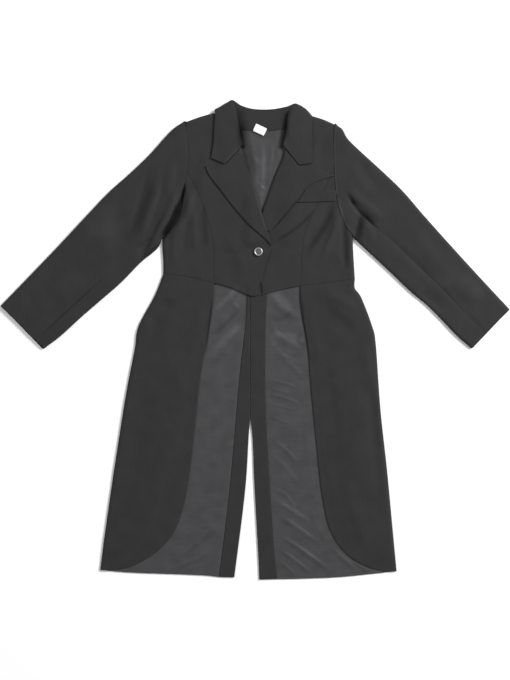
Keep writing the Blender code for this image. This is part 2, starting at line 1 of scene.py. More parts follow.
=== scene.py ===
"""A woman's black one-button tailcoat, laid flat on its back, in cloth, satin, metal and thread.

The collar points to +Y and the tails to -Y; right and left are the wearer's, so the right side lies at
-X. Plan points and heights below are millimetres; meshes are made in metres.
"""

import json
import math
from collections import namedtuple

import bpy
import numpy as np
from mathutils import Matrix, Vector, noise
from mathutils.geometry import delaunay_2d_cdt


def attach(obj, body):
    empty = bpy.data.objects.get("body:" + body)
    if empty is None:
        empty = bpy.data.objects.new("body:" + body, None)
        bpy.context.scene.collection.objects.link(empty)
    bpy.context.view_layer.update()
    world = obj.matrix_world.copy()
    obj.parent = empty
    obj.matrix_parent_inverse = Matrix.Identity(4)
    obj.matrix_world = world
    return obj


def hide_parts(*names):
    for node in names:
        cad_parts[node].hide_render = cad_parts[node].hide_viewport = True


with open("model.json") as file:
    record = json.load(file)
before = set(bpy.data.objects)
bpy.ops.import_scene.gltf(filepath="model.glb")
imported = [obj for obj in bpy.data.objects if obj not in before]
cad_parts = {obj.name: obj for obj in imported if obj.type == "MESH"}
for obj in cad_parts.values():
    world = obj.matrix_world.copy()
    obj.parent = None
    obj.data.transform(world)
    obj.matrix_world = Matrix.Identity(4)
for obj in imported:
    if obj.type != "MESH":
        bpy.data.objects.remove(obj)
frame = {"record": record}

bl_info = {
    "name": "Tailcoat laid flat",
    "version": (1, 0, 0),
    "blender": (4, 5, 0),
    "location": "View3D > Sidebar > Tailcoat",
    "description": "Builds a one-button tailcoat, laid flat, piece by piece",
    "category": "Add Mesh",
}

MM = 0.001
SLOT_COLOURS = {m["slot"]: m["base_color"] for m in frame["record"]["materials"]}

# Cloth
CLOTH = 1.5
LINING_CLOTH = 1.0
LAPEL_CLOTH = 2.0
COLLAR_CLOTH = 1.8
LABEL_CLOTH = 0.6
SEAM_GAP = 0.3
EDGE_INSET = 0.7 * SEAM_GAP
LAY_GAP = 1.0

# Heights above the surface that the coat lies on
LINING_TOP = CLOTH + SEAM_GAP + LINING_CLOTH
FACING_TOP = CLOTH + SEAM_GAP + CLOTH
FRONT_TOP = 6.8
SKIRT_EDGE_TOP = FACING_TOP + SEAM_GAP + CLOTH
SLEEVE_TOP = 6.6
FOLD_RADIUS = 8.0
SLEEVE_FOLD_RADIUS = 6.0
SKIRT_RISE = 70.0
SKIRT_HIP = 50.0

# Where the right front laps over the left one
LAP_DROP = 1.4
LAP_START_X = 90.0
LAP_BLEND = 50.0
LAP_RISE = 0.4
LAP_RISE_X = -60.0
LAP_RISE_BLEND = 40.0
LAPEL_LIFT = 3.4
LIFT_LEFT_X = -35.0
LIFT_LOW_Y = 206.0
LIFT_HIGH_Y = 350.0
LIFT_BLENDS = (30.0, 22.0, 40.0)

# Button, welt and label
BUTTON_AT = (9.0, 201.5)
BUTTON_RADIUS = 9.7
BUTTON_CENTRE_RADIUS = 6.2
BUTTON_CENTRE_HEIGHT = 1.9
BUTTON_SHANK = 1.5
BUTTON_SIDES = 96
BUTTON_ROUND = 1.5
BUTTON_GAP = 0.1
# The rim's inner lip, as (out from its inner side, height), and the centre's dish, as (radius, height)
BUTTON_LIP = ((1.1, 2.0), (0.7, 2.35), (0.35, 2.2), (0.0, 1.7))
BUTTON_DISH = (
    (6.2, 1.2), (5.9, 1.5), (5.4, 1.6), (5.0, 1.35), (4.5, 1.3), (3.9, 1.6), (3.0, 1.8), (1.6, 1.88)
)
LABEL_SIZE = (28.0, 18.5)
LABEL_AT = (12.5, 481.5)
LABEL_TURN = math.radians(-25)
LABEL_LOW = (462.0, 5.6)
LABEL_SLOPE = 0.055
LABEL_LIFT = 0.4

# How far lining runs on under a skirt front
LINING_REACH = 28.0
LINING_MARGIN = 12.0
LINING_HIGHEST = 140
LINING_SIDE_RIGHT = 340
LINING_SIDE_LEFT = 308
LINING_CORNER = 8
LINING_CORNER_Y = -532
LINING_BLEND = 7.0

# How finely the cloth is meshed: along its edges, in rings within them and over the rest
STEPS = 10
EDGE_SPACING = 4.0
RING_DEPTHS = (0.35, 0.9, 1.7, 3.0, 5.0)
ROW_STEP = 0.87
BATCH = 2000

# How its edges are rounded, its seams sink and its folds and rolls turn down
EDGE_RADIUS = 1.7
EDGE_DROP = 0.9
SEWN_DROP = 0.15
SEAM_SINK = 0.26
SEAM_REACH = 9.0
SEAM_PRESS = 1.5
SEAM_PUCKER = 0.9
FOLD_LIFT = 0.4
THINNEST = 0.25
STEEPEST = 0.45
ROLL_OUT = 0.3
ROLL_IN = 2.6
ROLL_RADIUS = 5.5
LEFT_ROLL_END = 262


# ---- Lines, as arrays of (x, y) ----


def smooth(points, steps=STEPS):
    """The Catmull-Rom curve through given points."""
    knots = np.array(points, float)
    ends = np.vstack([2 * knots[0] - knots[1], knots, 2 * knots[-1] - knots[-2]])
    t = (np.arange(steps) / steps)[:, None]
    line = [
        start
        + 0.5 * t * (end - before)
        + t**2 * (before - 2.5 * start + 2 * end - 0.5 * after)
        + t**3 * (1.5 * (start - end) + 0.5 * (after - before))
        for before, start, end, after in zip(ends, ends[1:], ends[2:], ends[3:])
    ]
    return np.vstack(line + [knots[-1:]])


def straight(points):
    return np.array(points, float)


def knot(number):
    """The index in a smooth line of a knot of it."""
    return int(number * STEPS)


def resampled(line, spacing):
    """Points at most a spacing apart along a line, its ends kept."""
    lengths = np.linalg.norm(np.diff(line, axis=0), axis=1)
    run = np.concatenate([[0], np.cumsum(lengths)])
    count = max(int(math.ceil(run[-1] / spacing)), 1)
    places = np.linspace(0, run[-1], count + 1)
    return np.stack([np.interp(places, run, line[:, axis]) for axis in range(line.shape[1])], 1)


def moved_aside(line, by):
    """A line moved to its left by a distance."""
    turn = np.gradient(line, axis=0)
    left = np.stack([-turn[:, 1], turn[:, 0]], 1)
    return line + by * left / np.linalg.norm(left, axis=1)[:, None]


ARMHOLE_RIGHT = smooth([(-212, 237), (-178, 298), (-162, 355), (-153, 424), (-158, 500)])
ARMHOLE_LEFT = smooth([(226, 236), (207, 272), (190, 321), (184, 400), (183, 495)])
JUNCTION_RIGHT = knot(2)
JUNCTION_LEFT = knot(0)
PRINCESS_TOP_RIGHT = knot(2.5)
PRINCESS_TOP_LEFT = knot(3)

SHOULDER_RIGHT = smooth([(-158, 500), (-125, 512), (-93, 521)])
SHOULDER_LEFT = smooth([(183, 495), (158, 506), (132, 514)])
SIDE_RIGHT = smooth(
    [(-162, 355), (-168, 302), (-181, 270), (-208, 233), (-212, 210), (-210, 178), (-210, 150)]
)
SIDE_RIGHT_LOW = SIDE_RIGHT[knot(4):]
SIDE_LEFT = smooth([(226, 236), (227, 206), (229, 170), (231, 139)])
FLANK_RIGHT = smooth(
    [(-210, 150), (-230, 100), (-267, 30), (-276, -24), (-296, -128), (-323, -300), (-343, -438),
     (-355, -530)]
)
FLANK_LEFT = smooth(
    [(231, 139), (231, 118), (246, 96), (270, 33), (279, -10), (290, -162), (305, -300), (318, -438),
     (327, -533)]
)
WAIST_RIGHT = smooth([(-210, 150), (-160, 145), (-93, 130)])
WAIST_LEFT = smooth([(231, 139), (162, 130), (105, 123)])
PRINCESS_RIGHT = smooth([ARMHOLE_RIGHT[PRINCESS_TOP_RIGHT], (-125, 325), (-97, 229), (-93, 130)])
PRINCESS_LEFT = smooth([ARMHOLE_LEFT[PRINCESS_TOP_LEFT], (150, 322), (132, 286), (112, 229), (105, 123)])
FRONT_HEM_RIGHT = smooth([(-93, 130), (-52, 118), (-15, 102), (3, 99)])
FRONT_HEM_LEFT = smooth([(105, 123), (70, 116), (36, 107), (15, 101), (-10, 98)])
ROLL_RIGHT = smooth([(-31, 441), (-20, 413), (-10, 378), (3, 344), (15, 298), (40, 214)])
ROLL_LEFT = smooth([(70, 441), (63, 413), (47, 378), (29, 328), (17, 293), (-6, 222)])
CLOSING_EDGE = smooth([(40, 214), (31, 178), (15, 125), (3, 99)])
UNDER_EDGE = straight([(-6, 222), (-10, 98)])
NECK_RIGHT = smooth([(-93, 521), (-74, 500), (-56, 468), (-38, 438)])
NECK_LEFT = smooth([(132, 514), (112, 496), (94, 468), (78, 438)])
SKIRT_EDGE_RIGHT = smooth(
    [(-93, 130), (-95, 86), (-109, -1), (-125, -93), (-137, -208), (-155, -346), (-181, -434), (-222, -486),
     (-282, -521), (-334, -531)]
)
SKIRT_EDGE_LEFT = smooth(
    [(105, 123), (107, 68), (121, -13), (130, -116), (141, -231), (155, -358), (176, -443), (215, -496),
     (261, -523), (303, -533)]
)
HEM_CORNER_RIGHT = straight([(-334, -531), (-355, -530)])
HEM_CORNER_LEFT = straight([(303, -533), (327, -533)])
CENTRE_X = -10
VENT_TOP = -179
VENT_RIGHT = smooth([(CENTRE_X, VENT_TOP), (-13.5, -231), (-19, -323), (-29, -415), (-41, -507), (-46, -547)])
VENT_LEFT = smooth([(CENTRE_X, VENT_TOP), (-4.5, -231), (-1, -323), (4, -415), (9, -507), (11, -552)])
FACING_RIGHT = smooth([(-17, 150), (-20, 45), (-33, -70), (-45, -208), (-56, -330), (-68, -438), (-82, -546)])
FACING_LEFT = smooth([(31, 150), (25, 22), (25, -139), (33, -300), (43, -461), (52, -551)])
HEM_RIGHT = smooth([(-46, -547), (-82, -546), (-125, -542), (-282, -536), (-355, -530)])
HEM_LEFT = smooth([(11, -552), (52, -551), (105, -550), (197, -546), (277, -538), (327, -533)])
NECK_SEAM_RIGHT = smooth([(CENTRE_X, 484), (-40, 486), (-68, 503), (-93, 521)])
NECK_SEAM_LEFT = smooth([(CENTRE_X, 484), (72, 486), (108, 500), (132, 514)])
LAPEL_TOP_RIGHT = straight([(-31, 441), (-68, 401), (-113, 398)])
LAPEL_TOP_LEFT = straight([(70, 441), (102, 399), (135, 397), (187, 376)])
LAPEL_EDGE_RIGHT = smooth(
    [(-113, 398), (-105, 378), (-79, 344), (-49, 305), (-10, 261), (24, 231), (40, 214)]
)
LAPEL_EDGE_LEFT = smooth([(187, 376), (141, 361), (116, 344), (98, 315), (70, 282), (47, 259), (33, 246)])
LAPEL_TIP_LEFT = straight([(33, 246), (8, 262)])
NECK_LINING = straight(
    [(-27, 483), (70, 483), (92, 440), (70, 330), (40, 272), (-14, 272), (-34, 330), (-58, 440), (-27, 483)]
)
WELT = straight([(98, 314), (187, 317), (187, 342), (117, 344)])
WELT_END = straight([(100.5, 316), (116.5, 341)])

SLEEVE_UPPER_RIGHT = smooth(
    [(-582, 77), (-516, 145), (-447, 217), (-378, 291), (-332, 339), (-286, 380), (-239, 425), (-197, 472),
     (-177, 490), (-158, 500)]
)
SLEEVE_LOWER_RIGHT = smooth(
    [(-483, -19), (-447, 8), (-401, 50), (-355, 90), (-309, 130), (-263, 177), (-237, 198), (-221, 214),
     (-212, 237)]
)
SLEEVE_UPPER_LEFT = smooth(
    [(585, 69), (542, 115), (472, 191), (391, 281), (339, 341), (289, 389), (243, 431), (220, 453),
    (210, 465), (201, 482), (192, 489), (183, 495)]
)
SLEEVE_LOWER_LEFT = smooth([(497, -18), (464, 11), (405, 72), (359, 111), (313, 155), (270, 195), (226, 236)])
SLEEVE_LENGTH = 600.0
SLEEVE_SEAM_RIGHT = 0.2
SLEEVE_SEAM_LEFT = 0.37
SLEEVE_COLUMNS = 41
SLEEVE_MARGIN = 0.07
SLEEVE_ROW_ENDS = (0.01, 0.98)
ARMHOLE_GAP = 0.08
ARMHOLE_REACH = 8.0
BACK_REACH = 3.0
CUFF_UNDER = 4.0
# Rows of mesh close to each end of a sleeve, as lengths from it
CUFF_ROWS = (0, 0.4, 1, 1.8, 3.6)
HEAD_ROWS = (8, 6.4, 5, 3.8, 2.8, 1.9, 1.2, 0.6, 0.2, 0)
# The sleeve seam's lip, as (out from the seam, how far down)
SEAM_LIP = ((0, 0.4), (0.5, 0.15), (1.2, 0))
SEAM_SLOPE = ((4, 0.15), (8, 0))

# The collar, station by station from the right gorge round the neck to the left one. Roll, mid and edge
# are points of the fall; seam and stand_z set the stand inside it.
Station = namedtuple("Station", "roll mid edge seam stand_z")
COLLAR = [
    Station((-31, 441, 10.0), (-68, 403, 9.3), (-100, 416, 9.1), (-25, 438, 3.9), 8.6),
    Station((-36, 466, 11.0), (-66, 440, 10.2), (-94, 447, 9.1), (-29, 462, 3.9), 9.6),
    Station((-41, 500, 12.0), (-68, 490, 10.8), (-92, 484, 9.2), (-33, 482, 3.9), 10.6),
    Station((-45, 528, 11.5), (-70, 518, 10.2), (-90, 512, 9.2), (-33, 485, 3.9), 10.0),
    Station((-52, 549, 9.0), (-71, 537, 7.2), (-88, 527, 5.6), (-29, 485, 3.9), 8.8),
    Station((-34, 538, 4.5), (-42, 520, 0.0), (-52, 501, 0.0), (-20, 485, 3.9), 7.6),
    Station((-10, 532, 3.2), (-12, 509, 0.0), (-16, 489, 0.0), (-5, 485, 3.9), 6.8),
    Station((17, 530, 3.0), (17, 508, 0.0), (17, 489, 0.0), (18, 485, 3.9), 6.6),
    Station((46, 531, 3.2), (48, 509, 0.0), (54, 490, 0.0), (42, 485, 3.9), 6.8),
    Station((76, 535, 4.5), (86, 518, 0.0), (96, 504, 0.0), (62, 486, 3.9), 7.6),
    Station((94, 540, 9.0), (114, 530, 7.2), (129, 512, 5.6), (71, 487, 3.9), 8.8),
    Station((81, 518, 11.5), (108, 510, 10.2), (132, 500, 9.2), (74, 486, 3.9), 10.0),
    Station((80, 490, 12.0), (107, 480, 10.8), (132, 470, 9.2), (73, 478, 3.9), 10.6),
    Station((75, 462, 11.0), (104, 440, 10.2), (133, 440, 9.1), (68, 458, 3.9), 9.6),
    Station((70, 441, 10.0), (103, 400, 9.3), (134, 405, 9.1), (64, 438, 3.9), 8.6),
]
COLLAR_CENTRE = np.array((21, 470))
STAND_INSET = 6.5
STAND_TUCK = 5
STAND_TUCK_DROP = 0.7
COLLAR_STEPS = 12
COLLAR_ROLL_REACH = 0.45
ROLL_START = 0.09
FALL_POINTS = 22
STAND_POINTS = 12
COLLAR_SPLIT = 14

# ---- Folds ----

# A crease runs from start through bend to end. Left and right are how far it reaches to each side of
# that direction, and height is above 0 for a ridge and below 0 for a trough.
Crease = namedtuple("Crease", "start bend end left right height")
CREASE_END = 0.3

SHELL_CREASES = [
    # the cloth stands up on both sides of the right armpit
    Crease((-146, 352), (-156, 290), (-196, 224), 16, 12, 3.2),
    Crease((-176, 352), (-198, 290), (-232, 232), 10, 16, 2.2),
    # right sleeve, from the shoulder down
    Crease((-240, 401), (-262, 320), (-291, 229), 26, 12, -2.2),
    Crease((-214, 372), (-236, 305), (-262, 236), 12, 22, 2.4),
    Crease((-206, 300), (-238, 238), (-266, 172), 10, 18, -2.4),
    Crease((-186, 420), (-196, 360), (-204, 318), 18, 18, 1.6),
    Crease((-376, 290), (-344, 262), (-300, 236), 52, 60, 2.2),
    Crease((-300, 330), (-318, 270), (-330, 190), 24, 24, -0.9),
    Crease((-430, 190), (-400, 150), (-372, 130), 40, 30, -1.0),
    Crease((-470, 150), (-450, 110), (-420, 90), 34, 30, 1.2),
    Crease((-520, 110), (-500, 70), (-484, 48), 26, 26, -0.8),
    Crease((-232, 232), (-250, 214), (-270, 200), 12, 16, -1.6),
    # left sleeve
    Crease((211, 338), (240, 298), (286, 252), 7, 14, -3.0),
    Crease((206, 352), (236, 322), (300, 270), 18, 12, 1.6),
    Crease((240, 288), (240, 262), (226, 238), 9, 14, -1.8),
    Crease((262, 262), (268, 240), (262, 222), 14, 12, 0.8),
    Crease((290, 250), (352, 196), (420, 128), 8, 14, -0.9),
    Crease((356, 250), (400, 196), (440, 150), 30, 36, 1.2),
    Crease((372, 118), (404, 92), (436, 66), 26, 20, -1.6),
    Crease((455, 150), (484, 118), (520, 84), 34, 30, 1.9),
    Crease((232, 420), (262, 372), (300, 336), 22, 22, -1.0),
    # left front: the pull from the armpit to the waist and the drape beside it
    Crease((184, 322), (160, 262), (110, 196), 12, 20, -2.3),
    Crease((196, 300), (178, 240), (150, 180), 14, 12, 1.9),
    Crease((206, 290), (205, 230), (208, 150), 12, 9, -2.4),
    Crease((222, 250), (221, 200), (222, 160), 8, 10, 1.4),
    Crease((40, 213), (96, 236), (152, 302), 12, 16, 0.9),
    Crease((60, 200), (110, 214), (140, 250), 12, 12, -0.7),
    Crease((168, 480), (150, 420), (158, 372), 26, 18, -0.8),
    Crease((30, 130), (58, 165), (98, 190), 14, 18, -0.7),
    # right front: soft upright folds under the bust
    Crease((-122, 318), (-118, 270), (-114, 206), 12, 14, -1.2),
    Crease((-138, 312), (-140, 262), (-136, 196), 12, 12, 1.1),
    Crease((-156, 300), (-160, 250), (-164, 180), 12, 12, -1.1),
    Crease((-182, 262), (-186, 214), (-184, 164), 12, 12, 1.0),
    Crease((-100, 440), (-118, 380), (-124, 330), 24, 24, 0.9),
    Crease((-62, 240), (-40, 200), (-30, 140), 24, 20, 0.8),
    Crease((-20, 205), (-48, 196), (-84, 204), 14, 10, -0.6),
    # skirts: a dent at each hip, then long soft rolls down the cloth
    Crease((148, 84), (190, 52), (232, 14), 20, 30, -1.2),
    Crease((160, 112), (204, 86), (246, 60), 22, 18, 0.9),
    Crease((128, 96), (136, 20), (150, -60), 20, 24, 0.9),
    Crease((-188, 96), (-216, 66), (-250, 34), 26, 20, -1.8),
    Crease((-170, 70), (-204, 20), (-230, -40), 26, 26, 1.2),
    Crease((-120, 100), (-130, 20), (-150, -70), 18, 22, 0.8),
    Crease((-160, -40), (-190, -190), (-212, -350), 46, 40, 1.2),
    Crease((-240, -60), (-262, -200), (-286, -380), 34, 40, -1.1),
    Crease((-210, -240), (-232, -350), (-268, -470), 24, 30, 0.9),
    Crease((-176, -230), (-196, -330), (-226, -440), 22, 16, -0.8),
    Crease((216, -60), (236, -210), (250, -380), 40, 46, 1.2),
    Crease((166, -40), (178, -170), (190, -330), 20, 26, -1.0),
    Crease((262, -80), (276, -230), (290, -400), 18, 20, -0.9),
    Crease((206, -300), (232, -400), (270, -496), 26, 22, 1.0),
    Crease((250, 0), (262, -60), (268, -130), 16, 22, 0.9),
]

NECK_CREASES = [
    Crease((14, 470), (17, 380), (9, 276), 13, 8, 0.62),
    Crease((28, 474), (27, 380), (18, 280), 6, 10, -0.4),
    Crease((38, 470), (40, 400), (31, 330), 10, 9, 0.55),
    Crease((-12, 474), (-2, 410), (2, 340), 11, 9, 0.5),
    Crease((50, 462), (44, 410), (34, 360), 6, 9, -0.74),
    Crease((-24, 462), (-10, 418), (0, 366), 8, 7, -0.74),
    Crease((62, 452), (50, 424), (20, 400), 8, 10, 0.4),
    Crease((-26, 440), (0, 412), (26, 396), 10, 8, 0.35),
    Crease((0, 368), (16, 350), (30, 340), 6, 8, 0.56),
]

TAIL_CREASES = [
    # right tail: drags from the waist, then from the hem's corner
    Crease((-96, 30), (-62, 66), (-26, 112), 13, 17, 1.5),
    Crease((-104, -6), (-70, 26), (-28, 74), 12, 14, -0.8),
    Crease((-108, -34), (-76, -4), (-34, 34), 13, 16, 1.3),
    Crease((-60, 118), (-52, 88), (-30, 60), 8, 10, 0.62),
    Crease((-112, -66), (-84, -44), (-44, -20), 8, 10, 0.5),
    Crease((-96, -130), (-90, -210), (-96, -300), 16, 14, 0.43),
    Crease((-68, -90), (-62, -170), (-72, -260), 9, 12, -0.31),
    Crease((-206, -519), (-140, -474), (-72, -412), 9, 14, 0.93),
    Crease((-232, -528), (-160, -496), (-78, -446), 8, 10, -0.56),
    Crease((-216, -534), (-160, -516), (-84, -480), 8, 11, 0.87),
    Crease((-168, -534), (-136, -522), (-92, -506), 6, 9, 0.56),
    Crease((-170, -436), (-136, -392), (-92, -350), 12, 14, 0.56),
    Crease((-142, -330), (-118, -300), (-82, -270), 9, 12, 0.43),
    # left tail: pulls across from the facing's seam, and long drags down to the hem
    Crease((34, 112), (62, 72), (112, 44), 15, 17, 1.1),
    Crease((32, 78), (62, 40), (114, 2), 12, 14, -0.7),
    Crease((30, 46), (60, 4), (118, -26), 13, 15, 1.1),
    Crease((30, 6), (58, -30), (112, -60), 8, 10, 0.56),
    Crease((28, -24), (70, -46), (122, -98), 10, 12, 0.62),
    Crease((27, -92), (60, -98), (104, -112), 4, 6, 0.74),
    Crease((27, -108), (52, -116), (88, -124), 4, 5, 0.56),
    Crease((28, -126), (62, -132), (112, -150), 4, 6, 0.81),
    Crease((29, -146), (58, -152), (96, -164), 4, 6, 0.62),
    Crease((30, -172), (54, -184), (90, -196), 5, 6, 0.5),
    Crease((36, -226), (70, -252), (104, -290), 8, 11, 0.68),
    Crease((40, -262), (76, -300), (112, -346), 8, 11, 0.56),
    Crease((36, -342), (70, -356), (96, -392), 7, 10, 0.68),
    Crease((44, -368), (84, -392), (134, -424), 8, 12, 1.05),
    Crease((46, -396), (96, -430), (160, -476), 7, 12, 0.99),
    Crease((48, -424), (92, -454), (150, -502), 7, 10, -0.62),
    Crease((50, -446), (98, -476), (182, -536), 8, 12, 1.18),
    Crease((52, -480), (84, -500), (134, -540), 6, 10, 0.93),
    Crease((56, -510), (74, -522), (96, -544), 6, 8, 0.74),
    Crease((170, -470), (206, -504), (240, -534), 8, 12, 0.87),
    Crease((128, -380), (140, -420), (168, -466), 12, 9, 0.56),
    Crease((224, -508), (250, -524), (268, -536), 6, 8, 0.62),
    Crease((118, -180), (122, -260), (134, -340), 14, 12, 0.5),
]

# Painted shade: how much the cloth's colour is darkened in place of the light that its armpits, folds, seams
# and neck corners would block, in place of a height; below 0 it is painted light that lightens the colour, as
# on lit folds of the satin and along some seams
PAINTED_SHADE_AND_LIGHT = [
    # painted shade in the open armpits and the deep folds below them, and painted light along the left
    # armhole
    Crease((-158, 366), (-172, 314), (-192, 266), 10, 4, 1.6),
    Crease((-172, 320), (-186, 276), (-216, 228), 12, 11, 1.8),
    Crease((-206, 226), (-232, 206), (-268, 172), 3, 8, 0.5),
    Crease((209, 344), (240, 297), (290, 250), 4, 5, 1.1),
    Crease((252, 300), (243, 262), (232, 214), 20, 12, 0.7),
    Crease((184, 494), (184, 400), (190, 316), 3, 3, -0.6),
    Crease((190, 330), (206, 274), (226, 236), 4, 4, -0.7),
    Crease((186, 330), (164, 268), (112, 186), 12, 14, 0.35),
    Crease((205, 300), (204, 220), (206, 138), 12, 10, 0.3),
    # sleeves
    Crease((-240, 405), (-250, 320), (-300, 200), 26, 30, 0.26),
    Crease((-216, 320), (-240, 244), (-276, 176), 12, 16, 0.16),
    Crease((-400, 262), (-344, 250), (-300, 270), 60, 50, -0.22),
    Crease((-340, 148), (-421, 73), (-500, 0), 2.2, 2.2, 0.45),
    Crease((284, 254), (400, 148), (560, -4), 2.0, 2.0, 0.3),
    Crease((430, 170), (484, 128), (540, 80), 44, 40, -0.16),
    # inside the neck and the collar
    Crease((-40, 540), (-35, 500), (-30, 450), 24, 8, 0.6),
    Crease((82, 536), (74, 500), (72, 446), 12, 18, 0.62),
    Crease((-34, 510), (-26, 440), (-2, 350), 30, 8, 0.7),
    Crease((0, 470), (20, 466), (50, 470), 14, 12, 0.25),
    Crease((10, 440), (16, 380), (10, 300), 16, 14, -0.25),
    Crease((60, 452), (84, 422), (110, 392), 3, 3, -0.6),
    Crease((-22, 452), (-48, 426), (-76, 396), 3, 3, -0.4),
    # fronts
    Crease((114, 338), (77, 294), (33, 243), 2.4, 2.4, 0.8),
    Crease((146, 306), (102, 260), (36, 216), 5, 6, 0.5),
    Crease((-122, 318), (-120, 270), (-112, 200), 16, 16, 0.25),
    Crease((44, 220), (29, 178), (16, 132), 2.4, 1.6, 0.55),
    Crease((12, 138), (16, 120), (18, 98), 3.2, 3.2, 1.3),
    # skirts, and the linings beside them
    Crease((148, 84), (190, 52), (232, 14), 20, 26, 0.16),
    Crease((-96, 104), (-103, 40), (-114, -44), 4, 4, 0.8),
    Crease((107, 116), (112, 50), (128, -60), 5, 5, 0.6),
    Crease((112, 20), (100, -2), (124, -20), 8, 8, 0.4),
    Crease((30, 56), (60, 46), (96, 70), 14, 10, 0.3),
    Crease((30, 104), (62, 98), (90, 56), 13, 14, -0.5),
    Crease((24, 6), (70, 12), (122, -10), 12, 12, -0.45),
    Crease((-96, 62), (-62, 96), (-30, 126), 10, 10, -0.45),
    Crease((-110, -46), (-70, -2), (-18, 50), 15, 15, -0.42),
    Crease((-102, 6), (-66, 36), (-24, 82), 9, 9, 0.3),
    Crease((-16, 140), (-20, 70), (-26, 0), 4, 4, 0.35),
    Crease((34, -340), (90, -400), (150, -470), 26, 24, -0.12),
]


def ease(t):
    t = np.clip(t, 0, 1)
    return t * t * (3 - 2 * t)


def nearest(points, line):
    """For each plan point: how far it is from a line, where along it from 0 to 1, and on which side."""
    starts, spans = line[:-1], np.diff(line, axis=0)
    squares = np.maximum((spans**2).sum(1), 1e-9)
    run = np.concatenate([[0], np.cumsum(np.sqrt(squares))])
    gaps = points[:, None] - starts[None]
    t = np.clip((gaps * spans).sum(2) / squares, 0, 1)
    far = ((gaps - t[..., None] * spans) ** 2).sum(2)
    best = far.argmin(1)
    rows = np.arange(len(points))
    gap, span = gaps[rows, best], spans[best]
    along = (run[best] + t[rows, best] * np.sqrt(squares[best])) / run[-1]
    return np.sqrt(far[rows, best]), along, span[:, 0] * gap[:, 1] - span[:, 1] * gap[:, 0]


def nearest_in_batches(points, line):
    batches = [nearest(points[i: i + BATCH], line) for i in range(0, max(len(points), 1), BATCH)]
    return [np.concatenate(values) for values in zip(*batches)]


def distance(points, lines):
    """How far each plan point is from the nearest of several lines."""
    far = np.full(len(points), 1e9)
    return np.min([far, *(nearest_in_batches(points, line)[0] for line in lines)], axis=0)


def creased(points, creases):
    """The sum of a table's creases at each plan point."""
    total = np.zeros(len(points))
    for row in creases:
        line = smooth([row.start, row.bend, row.end], 4)
        reach = max(row.left, row.right)
        near = np.all((points > line.min(0) - reach) & (points < line.max(0) + reach), axis=1)
        if near.any():
            gap, along, side = nearest(points[near], line)
            across = 1 - ease(gap / np.where(side > 0, row.left, row.right))
            total[near] += row.height * across * ease(along / CREASE_END) * ease((1 - along) / CREASE_END)
    return total


def crease_height(points, creases):
    return bpy.context.scene.tailcoat.fold_depth * creased(points, creases)


def ripple(points, size, height, seed):
    """Gentle unevenness of a size across."""
    return height * np.array([noise.noise((x / size, y / size, seed)) for x, y in points])


# ---- Mesh tools ----


def outline(*edges):
    """The edges end to end as one closed counter-clockwise loop without doubled corners."""
    loop = []
    for edge in edges:
        for point in resampled(edge, EDGE_SPACING):
            if not loop or np.linalg.norm(point - loop[-1]) > 0.01:
                loop.append(point)
    if np.linalg.norm(loop[0] - loop[-1]) < 0.01:
        loop.pop()
    loop = np.array(loop)
    return loop if loop_area(loop) > 0 else loop[::-1]


def loop_area(loop):
    after = np.roll(loop, -1, axis=0)
    return 0.5 * (loop[:, 0] * after[:, 1] - loop[:, 1] * after[:, 0]).sum()


def inset(loop, by):
    """The loop moved in along its mitred corners."""
    spans = np.roll(loop, -1, axis=0) - loop
    normals = np.stack([-spans[:, 1], spans[:, 0]], 1) / np.linalg.norm(spans, axis=1)[:, None]
    mitre = normals + np.roll(normals, 1, axis=0)
    return loop + mitre * by / np.maximum(0.5 * (mitre**2).sum(1), 0.35)[:, None]


def closed(loop):
    return np.vstack([loop, loop[:1]])


def vertex_normals(points, faces):
    normals = np.zeros((len(points), 3))
    first = points[faces[:, 0]]
    for corner in range(1, faces.shape[1] - 1):
        turn = np.cross(points[faces[:, corner]] - first, points[faces[:, corner + 1]] - first)
        for index in range(faces.shape[1]):
            np.add.at(normals, faces[:, index], turn)
    return normals / np.maximum(np.linalg.norm(normals, axis=1), 1e-12)[:, None]


def made(name, points, faces, slot, sharp=50):
    """The piece's object, from points in millimetres, shaded smooth up to a sharp angle in degrees, with the
    painted shade and painted light of each point stored on its mesh.
    """
    mesh = bpy.data.meshes.new(name)
    mesh.from_pydata((points * MM).tolist(), [], [list(map(int, face)) for face in faces])
    mesh.polygons.foreach_set("use_smooth", [True] * len(mesh.polygons))
    mesh.set_sharp_from_angle(angle=math.radians(sharp))
    mesh.materials.append(finish_for(slot))
    # painted shade and painted light: how much the colour is darkened, or lightened below 0, at each point
    shade = mesh.attributes.new("painted_shade_and_light", "FLOAT", "POINT")
    shade.data.foreach_set("value", np.clip(creased(points[:, :2], PAINTED_SHADE_AND_LIGHT), *PAINTED_SHADE_AND_LIGHT_RANGE))
    piece = bpy.data.objects.new(name, mesh)
    bpy.context.scene.collection.objects.link(piece)
    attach(piece, "root")
    return piece


def shell(name, outer, inner, faces, slot):
    """A closed thin solid from an outer skin, its inner skin and the rim between them."""
    count = len(outer)
    corners = faces.shape[1]
    sides = np.vstack([faces[:, [i, (i + 1) % corners]] for i in range(corners)])
    keys = sides[:, 0].astype(np.int64) * count + sides[:, 1]
    back = sides[:, 1].astype(np.int64) * count + sides[:, 0]
    rim = sides[~np.isin(keys, back)]
    walls = np.stack([rim[:, 1], rim[:, 0], rim[:, 0] + count, rim[:, 1] + count], 1)
    everything = faces.tolist() + (faces[:, ::-1] + count).tolist() + walls.tolist()
    return made(name, np.vstack([outer, inner]), everything, slot)


def cut_size(loop):
    """Width, length and area in metres of the smallest box round a flat piece."""
    best = None
    for degrees in range(0, 90, 3):
        turn = math.radians(degrees)
        spin = np.array([(math.cos(turn), -math.sin(turn)), (math.sin(turn), math.cos(turn))])
        extent = np.ptp(loop @ spin, axis=0) * MM
        if best is None or extent.prod() < best.prod():
            best = extent
    return sorted(float(side) for side in best), abs(loop_area(loop)) * MM * MM


